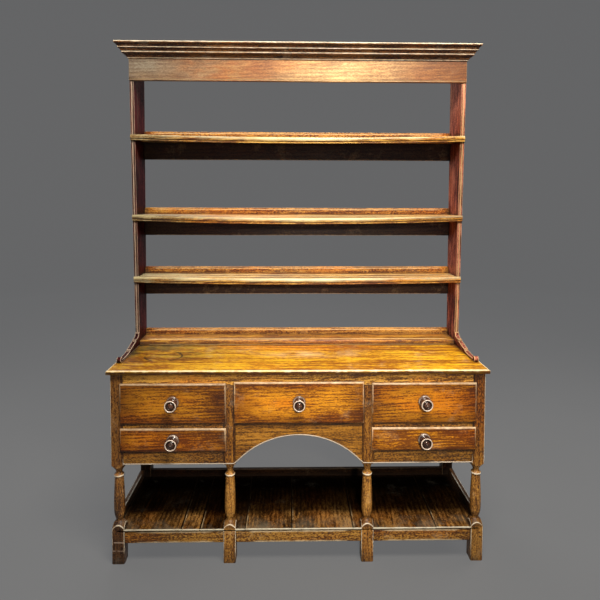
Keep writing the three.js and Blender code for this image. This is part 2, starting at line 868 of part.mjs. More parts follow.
// A shelf board with its moulded nosing, full width at the front and notched round the sides.
// It sags between the sides, most at its front edge.
function shelf({ height, front, nosingRear, rear, sag }) {
  const bottom = height - nosingHeight;
  const round = Math.min(nosingRound, nosingHeight / 2);
  const outline = [
    [rear, height],
    [rear, height - shelfThickness],
    [nosingRear, height - shelfThickness],
    [nosingRear, bottom],
    ...arc([front + round, bottom + round], round, 1.5 * Math.PI, Math.PI, arcSteps / 2),
    ...arc([front + round, height - round], round, Math.PI, Math.PI / 2, arcSteps / 2),
  ];
  const geometry = new THREE.ExtrudeGeometry(shapeOf(outline), {
    depth: sagSteps,
    steps: sagSteps,
    bevelEnabled: false,
  });
  const places = geometry.attributes.position;
  for (let i = 0; i < places.count; i += 1) {
    const [y, z, ring] = [places.getX(i), places.getY(i), Math.round(places.getZ(i))];
    const share = THREE.MathUtils.clamp((2 * (ring - 1)) / (sagSteps - 2) - 1, -1, 1);
    const atEnd = ring === 0 || ring === sagSteps;
    const forward = (rear - y) / (rear - front);
    places.setXYZ(i, share * (atEnd ? halfRack : rackInside), y, z - sag * (1 - share ** 2) * forward);
  }
  const notches = [-1, 1].map((side) => block(
    [side * (rackInside + housingDepth), side * (halfRack + overrun)],
    [nosingRear, rear + overrun],
    grow([bottom, height], overrun),
  ));
  return cutBy(solidOf(geometry), notches);
}

function backRail([z0, z1]) {
  const half = rackInside + housingDepth;
  return block([-half, half], [railFront, rackRear], [z0, z1]);
}

function bottomShelf() {
  const half = rackInside - clearance;
  return block([-half, half], [rackFront(footRise), railFront - clearance], [0, bottomShelfThickness]);
}

function frieze() {
  return block([-halfRack, halfRack], [friezeFront, friezeRear], [friezeUnderside, rackHeight]);
}

// Cornice outline as [reach share, height share] pairs, from its lower edge to its lip
function corniceProfile() {
  const shares = [
    [0, 0],
    [0.06, 0.03],
    [0.06, 0.08],
    [0.13, 0.12],
    [0.16, 0.18],
    [0.24, 0.25],
    [0.38, 0.31],
    [0.48, 0.34],
    [0.48, 0.42],
    [0.53, 0.45],
    [0.58, 0.52],
    [0.65, 0.58],
    [0.73, 0.61],
    [0.73, 0.66],
    [0.76, 0.68],
    [0.79, 0.75],
    [0.86, 0.82],
    [0.97, 0.86],
    [1, 0.88],
    [1, 1],
  ];
  return shares.map(([reach, rise]) => [corniceReach * reach, corniceUnderside + corniceHeight * rise]);
}

// Cornice round the front and both ends, mitred at the corners and hollow behind
function cornice() {
  const profile = corniceProfile();
  const top = corniceUnderside + corniceHeight;
  const face = friezeFront - clearance;
  const half = halfRack + clearance;
  const front = profile.map(([reach, z]) => [face - reach, z]);
  const depthwise = alongX(
    [[rackRear, corniceUnderside], ...front, [rackRear, top]],
    [-half - corniceReach - overrun, half + corniceReach + overrun],
  );
  const right = profile.map(([reach, z]) => [half + reach, z]);
  const left = profile.map(([reach, z]) => [-half - reach, z]).reverse();
  const lengthwise = alongY([...right, ...left], [face - corniceReach - overrun, rackRear]);
  const hollow = block([-half, half], [face, rackRear + overrun], grow([corniceUnderside, top], overrun));
  return depthwise.intersect(lengthwise).subtract(hollow);
}

function rackTopBoard() {
  const z = [rackHeight + clearance, rackHeight + clearance + topBoardThickness];
  return block([-halfRack, halfRack], [friezeFront, rackRear], z);
}

// The whole dresser, piece by piece

for (const [hand, side] of sides) {
  place(caseGroup, `front_leg_outer_${hand}`, outerFrontLeg(side), finishes.frame);
  place(caseGroup, `front_leg_inner_${hand}`, innerFrontLeg(side), finishes.frame);
  place(caseGroup, `rear_leg_${hand}`, rearLeg(side), finishes.frame);
  place(caseGroup, `divider_rail_${hand}`, dividerRail(bayOf(side)), finishes.frame);
  place(caseGroup, `bottom_rail_${hand}`, bottomRail(bayOf(side)), finishes.frame);
  place(caseGroup, `end_board_${hand}`, endBoard(side), finishes.frame);
  place(caseGroup, `outer_runner_board_${hand}`, outerRunnerBoard(side), finishes.inside);
  place(caseGroup, `inner_runner_board_${hand}`, innerRunnerBoard(side), finishes.inside);
  place(caseGroup, `pot_rail_front_${hand}`, potFrontRail(bayOf(side)), finishes.frame);
  place(caseGroup, `pot_rail_end_${hand}`, potEndRail(side), finishes.frame);
  place(rackGroup, `rack_side_${hand}`, rackSide(side), finishes.rack);
}

place(caseGroup, 'top_rail', topRail(), finishes.frame);
place(caseGroup, 'arched_apron', archedApron(), finishes.frame);
place(caseGroup, 'back_board', backBoard(), finishes.inside);
place(caseGroup, 'dresser_top', dresserTop(), finishes.top);
place(caseGroup, 'pot_rail_front_centre', potFrontRail(centreBay), finishes.frame);
place(caseGroup, 'pot_rail_rear', potRearRail(), finishes.frame);
potBoards().forEach((board, i) => place(caseGroup, `pot_board_${i + 1}`, board, finishes.potBoard));

drawers.forEach(addDrawer);

shelves.forEach((each) => place(rackGroup, `shelf_${each.name}`, shelf(each), finishes.shelf));
rackRails.forEach(({ name, z }) => place(rackGroup, name, backRail(z), finishes.rack));
place(rackGroup, 'bottom_shelf', bottomShelf(), finishes.shelf);
place(rackGroup, 'rack_frieze', frieze(), finishes.rack);
place(rackGroup, 'cornice', cornice(), finishes.rack);
place(rackGroup, 'rack_top_board', rackTopBoard(), finishes.rack);

export default dresser;
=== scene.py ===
import math

import bmesh
import bpy
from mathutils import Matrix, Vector, noise


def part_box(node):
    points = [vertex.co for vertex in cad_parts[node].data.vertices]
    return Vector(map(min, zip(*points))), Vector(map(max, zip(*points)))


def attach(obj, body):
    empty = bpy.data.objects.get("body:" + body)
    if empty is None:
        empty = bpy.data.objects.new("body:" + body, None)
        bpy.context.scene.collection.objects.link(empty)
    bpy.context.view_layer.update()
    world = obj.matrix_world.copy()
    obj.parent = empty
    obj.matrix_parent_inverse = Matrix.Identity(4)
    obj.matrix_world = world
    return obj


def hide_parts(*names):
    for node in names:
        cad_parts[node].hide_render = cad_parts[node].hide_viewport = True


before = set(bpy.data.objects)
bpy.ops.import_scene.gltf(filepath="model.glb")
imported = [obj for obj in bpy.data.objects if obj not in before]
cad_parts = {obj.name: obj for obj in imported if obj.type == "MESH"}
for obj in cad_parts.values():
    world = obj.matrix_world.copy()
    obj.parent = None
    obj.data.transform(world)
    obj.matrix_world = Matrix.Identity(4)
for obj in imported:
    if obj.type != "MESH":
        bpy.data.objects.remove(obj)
noise.seed_set(1)  # the boards are uneven in the same way in every run


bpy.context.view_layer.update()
scene = bpy.context.scene
print("dresser frame loaded")

# Camera, lamps and room

cameraSettings = {
    "place": (-0.037, -2.19, 1.45), "lens": 30.7, "sensor": 36, "tilt": 2.5, "turn": -1.1, "roll": -0.18,
    "shift": (0, -0.13),
}

cameraData = bpy.data.cameras.new("viewCamera")
cameraData.sensor_width = cameraSettings["sensor"]
cameraData.lens = cameraSettings["lens"]
cameraData.shift_x, cameraData.shift_y = cameraSettings["shift"]
camera = bpy.data.objects.new("viewCamera", cameraData)
camera.location = cameraSettings["place"]
cameraTurns = (90 - cameraSettings["tilt"], cameraSettings["roll"], cameraSettings["turn"])
camera.rotation_euler = [math.radians(angle) for angle in cameraTurns]
scene.collection.objects.link(camera)
scene.camera = camera

panelLamps = {
    # place, point it faces, size, power and colour
    "keyLamp": ((0.40, -1.40, 3.15), (0.08, -0.12, 0.85), (1.3, 0.8), 112, (1.0, 0.93, 0.82)),
    "fillLamp": ((0.4, -3.6, 1.2), (0, 0, 0.7), (1.6, 1.4), 9, (1.0, 0.96, 0.90)),
    "sideLamp": ((2.8, 0.9, 2.3), (0, 0, 1.0), (1.2, 1.8), 26, (1.0, 0.96, 0.90)),
    "leftLamp": ((-2.8, 0.9, 2.3), (0, 0, 1.0), (1.2, 1.8), 18, (1.0, 0.97, 0.93)),
    "rearLamp": ((-0.8, 2.5, 3.9), (0, 0, 1.0), (1.6, 1.4), 46, (1.0, 0.98, 0.95)),
}
poolLamp = {
    # a soft pool of light on the drawers and the top
    "place": (0.28, -3.3, 2.15), "target": (0.15, -0.2, 0.72), "power": 300, "colour": (1.0, 0.90, 0.76),
    "angle": 33, "radius": 0.12,
}


def makeLamp(name, kind, place, target, power, colour):
    data = bpy.data.lights.new(name, kind)
    data.energy = power
    data.color = colour
    lamp = bpy.data.objects.new(name, data)
    lamp.location = place
    lamp.rotation_euler = (Vector(target) - Vector(place)).to_track_quat("-Z", "Y").to_euler()
    scene.collection.objects.link(lamp)
    return data


for name, (place, target, size, power, colour) in panelLamps.items():
    panel = makeLamp(name, "AREA", place, target, power, colour)
    panel.shape = "RECTANGLE"
    panel.size, panel.size_y = size

pool = makeLamp("poolLamp", "SPOT", *[poolLamp[key] for key in ("place", "target", "power", "colour")])
pool.spot_size = math.radians(poolLamp["angle"])
pool.spot_blend = 1.0
pool.shadow_soft_size = poolLamp["radius"]

roomSettings = {"Color": (0.86, 0.88, 0.90, 1), "Strength": 0.06}

world = bpy.data.worlds.new("paleRoom")
world.use_nodes = True
for label, value in roomSettings.items():
    world.node_tree.nodes["Background"].inputs[label].default_value = value
scene.world = world
scene.view_settings.view_transform = "Standard"

# Shader helpers


def wire(tree, node, inputs):
    # sets a node's inputs and links those that are given as sockets
    for key, value in inputs.items():
        if isinstance(value, bpy.types.NodeSocket):
            tree.links.new(value, node.inputs[key])
        else:
            node.inputs[key].default_value = value


def nodeMaker(tree):
    def add(kind, inputs=None, **settings):
        node = tree.nodes.new(kind)
        for key, value in settings.items():
            setattr(node, key, value)
        wire(tree, node, inputs or {})
        return node
    return add


def calc(add, operation, a, b=0.0, c=0.0, clamp=False):
    return add("ShaderNodeMath", {0: a, 1: b, 2: c}, operation=operation, use_clamp=clamp).outputs[0]


def times(add, product, *factors):
    for factor in factors:
        product = calc(add, "MULTIPLY", product, factor)
    return product


def swayed(add, value, cloud, amount):
    # moves a value up and down by a noise that lies round 0.5
    return calc(add, "MULTIPLY_ADD", calc(add, "SUBTRACT", cloud, 0.5), amount, value)


def gapTo(add, value, place):
    return calc(add, "ABSOLUTE", calc(add, "SUBTRACT", value, place))


def span(add, value, low, high, toLow=0.0, toHigh=1.0):
    # goes from toLow to toHigh while the value goes from low to high
    return add("ShaderNodeMapRange", {"Value": value, 1: low, 2: high, 3: toLow, 4: toHigh}).outputs[0]


def blended(add, share, under, over, kind="MIX"):
    inputs = {"Factor": share, 6: under, 7: over}
    return add("ShaderNodeMix", inputs, data_type="RGBA", blend_type=kind).outputs[2]


def covered(add, share, colour, paint):
    return blended(add, share, colour, (*paint, 1))


def tinted(add, share, colour, tint):
    # multiplies, so that the grain still shows
    return blended(add, share, colour, (*tint, 1), "MULTIPLY")


def cloudy(add, place, scale, detail=2.0, rough=0.5, output="Fac"):
    values = {"Vector": place, "Scale": scale, "Detail": detail, "Roughness": rough}
    return add("ShaderNodeTexNoise", values).outputs[output]


def vectorMath(add, operation, *vectors):
    return add("ShaderNodeVectorMath", dict(enumerate(vectors)), operation=operation).outputs


def stretched(add, vector, factors):
    return vectorMath(add, "MULTIPLY", vector, factors)[0]


def distanceTo(add, place, centre, factors):
    away = stretched(add, vectorMath(add, "SUBTRACT", place, centre)[0], factors)
    return vectorMath(add, "LENGTH", away)["Value"]


def axes(add, place):
    return add("ShaderNodeSeparateXYZ", {0: place}).outputs


# Shaping helpers

along = {
    "X": lambda a, b, t: Vector((t, a, b)),
    "Y": lambda a, b, t: Vector((a, t, b)),
    "Z": lambda a, b, t: Vector((a, b, t)),
}


def evenStations(start, end, steps):
    return [start + (end - start) * i / steps for i in range(steps + 1)]


def arcPoints(centre, radius, start, end, steps):
    angles = [math.radians(angle) for angle in evenStations(start, end, steps)]
    return [(centre[0] + radius * math.cos(angle), centre[1] + radius * math.sin(angle)) for angle in angles]


def smoothLine(points, steps):
    # a soft curve through the points
    result = []
    for i in range(len(points) - 1):
        p0 = Vector(points[max(i - 1, 0)])
        p1, p2 = Vector(points[i]), Vector(points[i + 1])
        p3 = Vector(points[min(i + 2, len(points) - 1)])
        for k in range(steps):
            t = k / steps
            result.append(tuple(0.5 * (2 * p1 + (p2 - p0) * t + (2 * p0 - 5 * p1 + 4 * p2 - p3) * t * t
                                       + (3 * p1 - p0 - 3 * p2 + p3) * t ** 3)))
    return result + [tuple(points[-1])]


def softly(points, bend, steps):
    # carries an outline on from its last point along a soft curve
    return points + smoothLine(points[-1:] + bend, steps)[1:]


def straightRings(points, axis, stations):
    return [[along[axis](a, b, t) for a, b in points] for t in stations]


def sweptOutline(bm, rings):
    # an outline carried through a row of rings, each a list of points in the same order
    face = first = bm.faces.new([bm.verts.new(point) for point in rings[0]])
    for before, after in zip(rings, rings[1:]):
        pushed = bmesh.ops.extrude_face_region(bm, geom=[face])
        for vert in [g for g in pushed["geom"] if isinstance(g, bmesh.types.BMVert)]:
            nearest = min(range(len(before)), key=lambda i: (before[i] - vert.co).length_squared)
            vert.co = after[nearest]
        if face is not first and face.is_valid:
            bmesh.ops.delete(bm, geom=[face], context="FACES_ONLY")
        face = [g for g in pushed["geom"] if isinstance(g, bmesh.types.BMFace)][0]


def pushedOutline(bm, points, axis, start, end, cuts=1):
    sweptOutline(bm, straightRings(points, axis, evenStations(start, end, cuts)))


def plank(bm, low, high, axis="X", cuts=1):
    # a rectangular board between two corners, cut into lengths along an axis
    t = "XYZ".index(axis)
    a, b = [i for i in range(3) if i != t]
    corners = [(low[a], low[b]), (high[a], low[b]), (high[a], high[b]), (low[a], high[b])]
    pushedOutline(bm, corners, axis, low[t], high[t], cuts)


def spun(bm, points, centre, axis, steps):
    # a line of points turned once round an axis
    line = [bm.verts.new(point) for point in points]
    edges = [bm.edges.new(pair) for pair in zip(line, line[1:])]
    bmesh.ops.spin(bm, geom=line + edges, cent=centre, axis=axis, dvec=(0, 0, 0), angle=2 * math.pi,
                   steps=steps, use_merge=True, use_normal_flip=False, use_duplicate=False)


def cleaned(bm, near=1e-5):
    bmesh.ops.remove_doubles(bm, verts=bm.verts, dist=near)
    bmesh.ops.recalc_face_normals(bm, faces=bm.faces)


def lathe(bm, profile, centre, axis, steps):
    # profile points are (radius, distance along the axis)
    side = Vector((1, 0, 0)) if abs(axis.x) < 0.5 else Vector((0, 1, 0))
    spun(bm, [centre + side * r + axis * t for r, t in profile], centre, axis, steps)
    cleaned(bm, 1e-6)


def wearLayer(bm):
    # how rubbed each point is, about 0 to 1
    return bm.verts.layers.float.get("wear") or bm.verts.layers.float.new("wear")


def markFaces(faces, wear, amount):
    for face in faces:
        for vert in face.verts:
            vert[wear] = amount


def bevelled(bm, edges, width, segments):
    made = bmesh.ops.bevel(bm, geom=edges, offset=width, offset_type="OFFSET", segments=segments, profile=0.5,
                           affect="EDGES", material=-1, clamp_overlap=True)
    return made["faces"]


def insetUnworn(bm, faces, width, wear):
    # leaves a strip round the faces, over which the wear fades
    bmesh.ops.inset_region(bm, faces=faces, thickness=width, use_even_offset=False, use_boundary=True)
    markFaces(faces, wear, 0.0)


def touchingFaces(faces):
    # sorts faces into groups that meet along edges
    left = set(faces)
    for seed in faces:
        if seed not in left:
            continue
        left.remove(seed)
        region, border = [seed], [seed]
        while border:
            for other in [f for edge in border.pop().edges for f in edge.link_faces]:
                if other in left:
                    left.remove(other)
                    region.append(other)
                    border.append(other)
        yield region


def ease(bm, soften=0.0015, worn=0.006, segments=2, sharper=30, butt=None):
    # rounds every sharp edge and marks it as worn, fading inwards; the ends along butt stay unworn
    cleaned(bm)
    wear = wearLayer(bm)
    sharp = [e for e in bm.edges if e.is_manifold and e.calc_face_angle() > math.radians(sharper)]
    rounded = set(bevelled(bm, sharp, soften, segments))
    markFaces(bm.faces, wear, 1.0)
    for region in touchingFaces([face for face in bm.faces if face not in rounded]):
        inside = set(region)
        borders = [e for f in region for e in f.edges if any(o not in inside for o in e.link_faces)]
        rim = sum(e.calc_length() for e in borders)
        widest = 0.6 * sum(f.calc_area() for f in region) / rim if rim > 0 else 0.0
        if min(worn, widest) > 0.0004:
            insetUnworn(bm, region, min(worn, widest), wear)
    if butt:
        i = "XYZ".index(butt)
        ends = [min(v.co[i] for v in bm.verts), max(v.co[i] for v in bm.verts)]
        for vert in bm.verts:
            if min(abs(vert.co[i] - end) for end in ends) < soften * 2.5:
                vert[wear] = 0.0


def wander(bm, amount, scale=3.0, seed=0.0, keep=""):
    # hand-made unevenness in long soft waves, with the axes in keep left straight
    for vert in bm.verts:
        shift = noise.noise_vector(vert.co * scale + Vector((seed, seed, seed))) * amount
        vert.co += Vector([0 if axis in keep else move for axis, move in zip("XYZ", shift)])


def dip(place, scale):
    # from 0 to 1, slowly changing from place to place
    return 0.5 + 0.5 * noise.noise(place * scale)


def joinInto(bm, part):
    holder = bpy.data.meshes.new("part")
    part.to_mesh(holder)
    part.free()
    bm.from_mesh(holder)
    bpy.data.meshes.remove(holder)


def joinPlank(bm, low, high, axis, cuts, soften, worn, segments=2):
    part = bmesh.new()
    plank(part, low, high, axis, cuts)
    ease(part, soften, worn, segments)
    joinInto(bm, part)


def peg(bm, centre, axis, radius=0.004, proud=0.0005, depth=0.002):
    part = bmesh.new()
    profile = [(0, -depth), (radius, -depth), (radius, proud * 0.4), (radius * 0.8, proud), (0, proud)]
    lathe(part, profile, Vector(centre), Vector(axis), 14)
    wearLayer(part)
    joinInto(bm, part)


def twoParts(low, high, split, seam):
    return (low, split - seam), (split + seam, high)


def addPiece(name, bm, finish, nodes=(), body="root", smooth=50):
    mesh = bpy.data.meshes.new(name)
    bm.to_mesh(mesh)
    bm.free()
    mesh.polygons.foreach_set("use_smooth", [True] * len(mesh.polygons))
    mesh.set_sharp_from_angle(angle=math.radians(smooth))
    mesh.materials.append(finish)
    piece = bpy.data.objects.new(name, mesh)
    scene.collection.objects.link(piece)
    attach(piece, body)
    if nodes:
        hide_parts(*nodes)


boardWear = {"soften": 0.0014, "worn": 0.005}


def boardPiece(name, low, high, finish, slot, nodes, axis="X", cuts=1, soften=boardWear["soften"],
               worn=boardWear["worn"], sway=0.0, seed=0.0):
    bm = bmesh.new()
    plank(bm, low, high, axis, cuts)
    if sway:
        wander(bm, sway, 2.5, seed)
    ease(bm, soften, worn, butt=axis)
    addPiece(name, bm, finish, nodes)


print("helpers ready")

# Floor

floorSettings = {
    "radius": 6.6, "sweep": 1.6, "height": 8.0, "steps": 96, "rough": 0.8,
    "tones": ((0.036, 0.037, 0.038, 1), (0.042, 0.043, 0.044, 1)),
    "hidden": (0.045, 0.043, 0.04, 1), "glow": 0.126, "glowColour": (0.97, 0.98, 1.0, 1),
}


def floorPaint():
    # the camera and glossy surfaces see a slightly glowing floor, the light that it throws back stays plain
    s = floorSettings
    paint = bpy.data.materials.new("greyFloor")
    paint.use_nodes = True
    tree = paint.node_tree
    add = nodeMaker(tree)
    place = add("ShaderNodeTexCoord").outputs["Object"]
    tone = blended(add, cloudy(add, place, 1.3), *s["tones"])
    rays = add("ShaderNodeLightPath").outputs
    seen = calc(add, "ADD", rays["Is Camera Ray"], rays["Is Glossy Ray"])
    seen = calc(add, "ADD", seen, rays["Is Transmission Ray"], clamp=True)
    wire(tree, tree.nodes["Principled BSDF"], {
        "Base Color": blended(add, seen, s["hidden"], tone), "Roughness": s["rough"],
        "Emission Color": s["glowColour"], "Emission Strength": times(add, seen, s["glow"])})
    return paint


def makeFloor():
    # a round floor that sweeps up into a wall
    s = floorSettings
    outline = [(0, 0), (s["radius"] * 0.5, 0)] + arcPoints((s["radius"], s["sweep"]), s["sweep"], -90, 0, 12)
    outline.append((s["radius"] + s["sweep"], s["height"]))
    bm = bmesh.new()
    spun(bm, [(0, y, z) for y, z in outline], (0, 0, 0), (0, 0, 1), s["steps"])
    bmesh.ops.remove_doubles(bm, verts=bm.verts, dist=1e-5)
    inside = Vector((0, 0, 3))
    for face in bm.faces:
        face.normal_update()
        if face.normal.dot(inside - face.calc_center_median()) < 0:
            face.normal_flip()
    mesh = bpy.data.meshes.new("greyFloor")
    bm.to_mesh(mesh)
    bm.free()
    mesh.shade_smooth()
    mesh.materials.append(floorPaint())
    floor = bpy.data.objects.new("greyFloor", mesh)
    scene.collection.objects.link(floor)


makeFloor()
print("camera, lamps and floor placed")

# Wood: two shared node groups, then one material for each piece

figureNoises = {
    # counts per metre along and across the grain, detail and roughness
    "drift": (2.5, 7, 3.0, 0.5), "fibre": (9, 170, 4.0, 0.7), "fleck": (130, 300, 2.0, 0.5),
    "fine": (60, 620, 2.0, 0.5), "cloud": (3.2, 8, 3.0, 0.6), "mottle": (22, 62, 3.0, 0.7),
    "warm": (2.4, 6, 3.0, 0.5), "pores": (55, 900, 1.0, 0.5),
}
figureSettings = {
    "bend": 0.035, "cloud": 1.6, "fine": 0.7, "warmTint": (1.0, 0.70, 0.45), "poreShade": 0.6,
    "rings": {"Scale": 19.0, "Distortion": 2.6, "Detail": 3.0, "Detail Scale": 2.2,
              "Detail Roughness": 0.6},
}
surfaceSettings = {"patches": 38.0, "cornerReach": 0.03, "dents": 17.0, "rubs": 11.0}


def newGroup(name, inputs, outputs):
    # a default of None makes a vector socket, four numbers make a colour
    group = bpy.data.node_groups.new(name, "ShaderNodeTree")
    for label, value in inputs.items():
        kind = "Vector" if value is None else "Color" if isinstance(value, tuple) else "Float"
        socket = group.interface.new_socket(label, in_out="INPUT", socket_type=f"NodeSocket{kind}")
        if value is not None:
            socket.default_value = value
    for label, kind in outputs.items():
        group.interface.new_socket(label, in_out="OUTPUT", socket_type=f"NodeSocket{kind}")
    add = nodeMaker(group)
    return group, add, add("NodeGroupInput").outputs, add("NodeGroupOutput")


def makeOakFigure():
    # grain runs along X: growth rings, fibres, pores and cross-grain flecks
    group, add, given, out = newGroup(
        "oakFigure",
        {"Vector": None, "Dark": (0.1, 0.04, 0.015, 1), "Mid": (0.25, 0.11, 0.035, 1),
         "Light": (0.42, 0.22, 0.07, 1), "Rings": 0.35, "Streaks": 1.8, "Flecks": 2.6, "Mottle": 0.55,
         "Contrast": 1.0},
        {"Color": "Color", "Height": "Float", "Tone": "Float"})
    s = figureSettings
    straight = given["Vector"]

    def grainNoise(kind, vector, output="Fac"):
        lengthways, across, detail, rough = figureNoises[kind]
        return cloudy(add, stretched(add, vector, (lengthways, across, across)), 1.0, detail, rough, output)

    drift = vectorMath(add, "SUBTRACT", grainNoise("drift", straight, "Color"), (0.5, 0.5, 0.5))[0]
    bent = vectorMath(add, "MULTIPLY_ADD", drift, (0.0, s["bend"], s["bend"]), straight)[0]
    rings = add("ShaderNodeTexWave", {"Vector": bent, **s["rings"]}, wave_type="RINGS", rings_direction="X")
    fibre, fine = grainNoise("fibre", bent), grainNoise("fine", straight)
    tone = times(add, calc(add, "SUBTRACT", rings.outputs["Fac"], 0.5), given["Rings"])
    for source, amount in ((fibre, given["Streaks"]), (grainNoise("fleck", straight), given["Flecks"]),
                           (grainNoise("cloud", straight), s["cloud"]),
                           (grainNoise("mottle", bent), given["Mottle"]), (fine, s["fine"])):
        tone = swayed(add, tone, source, amount)
    tone = calc(add, "MULTIPLY_ADD", tone, given["Contrast"], 0.5, clamp=True)
    colour = blended(add, span(add, tone, 0.0, 0.5), given["Dark"], given["Mid"])
    colour = blended(add, span(add, tone, 0.5, 1.0), colour, given["Light"])
    warmed = tinted(add, 1.0, colour, s["warmTint"])
    colour = blended(add, span(add, grainNoise("warm", straight), 0.50, 0.64, 0.0, 0.75), colour, warmed)
    pores = span(add, grainNoise("pores", bent), 0.58, 0.68)
    colour = blended(add, times(add, pores, s["poreShade"]), colour, given["Dark"])
    height = calc(add, "MULTIPLY_ADD", fibre, 0.5, times(add, fine, 0.3))
    height = calc(add, "SUBTRACT", height, times(add, pores, 0.4))
    wire(group, out, {"Color": colour, "Height": height, "Tone": tone})
    return group


def makeOldSurface():
    # pale rubbed edges, pale enough to stand in for painted highlights too; grime and painted shade in
    # corners; scattered dents and stains
    group, add, given, out = newGroup(
        "oldSurface",
        {"Vector": None, "Color": (0.3, 0.15, 0.06, 1), "Worn": (0.6, 0.42, 0.24, 1),
         "Grime": (0.02, 0.012, 0.008, 1), "Edge": 0.6, "Corner": 0.7, "Scuffs": 0.3},
        {"Color": "Color", "Rough": "Float", "Height": "Float"})
    s = surfaceSettings
    vector = given["Vector"]
    worn = add("ShaderNodeAttribute", attribute_name="wear").outputs["Fac"]
    patchy = cloudy(add, vector, s["patches"], 3.0, 0.65)
    # the pale worn colour on the edges is partly wear and partly painted highlight
    edge = times(add, span(add, swayed(add, worn, patchy, 0.9), 0.45, 1.0), given["Edge"])
    # painted shade: ambient occlusion darkens corners, creases and places between parts, mixed with patchy
    # grime
    near = add("ShaderNodeAmbientOcclusion", {"Distance": s["cornerReach"]}, samples=6).outputs["AO"]
    corner = swayed(add, calc(add, "SUBTRACT", 1.0, near), patchy, 0.35)
    corner = calc(add, "MULTIPLY", span(add, corner, 0.10, 0.52), given["Corner"], clamp=True)
    dents = add("ShaderNodeTexVoronoi", {"Vector": vector, "Scale": s["dents"], "Randomness": 1.0})
    dent = times(add, span(add, dents.outputs["Distance"], 0.22, 0.08), span(add, patchy, 0.52, 0.66))
    rub = times(add, span(add, cloudy(add, vector, s["rubs"], 6.0, 0.75), 0.56, 0.70), given["Scuffs"])
    colour = blended(add, times(add, rub, 0.5), given["Color"], given["Worn"])
    colour = blended(add, times(add, dent, given["Scuffs"]), colour, given["Grime"])
    colour = blended(add, corner, colour, given["Grime"])
    colour = blended(add, edge, colour, given["Worn"])
    rough = calc(add, "MULTIPLY_ADD", corner, 0.3, times(add, rub, 0.15))
    height = calc(add, "MULTIPLY_ADD", dent, -0.5, times(add, patchy, 0.25))
    wire(group, out, {"Color": colour, "Rough": rough, "Height": height})
    return group


oakFigure = makeOakFigure()
oldSurface = makeOldSurface()

grainTurns = {"X": (0, 0, 0), "Y": (0, 0, -math.pi / 2), "Z": (0, math.pi / 2, 0)}

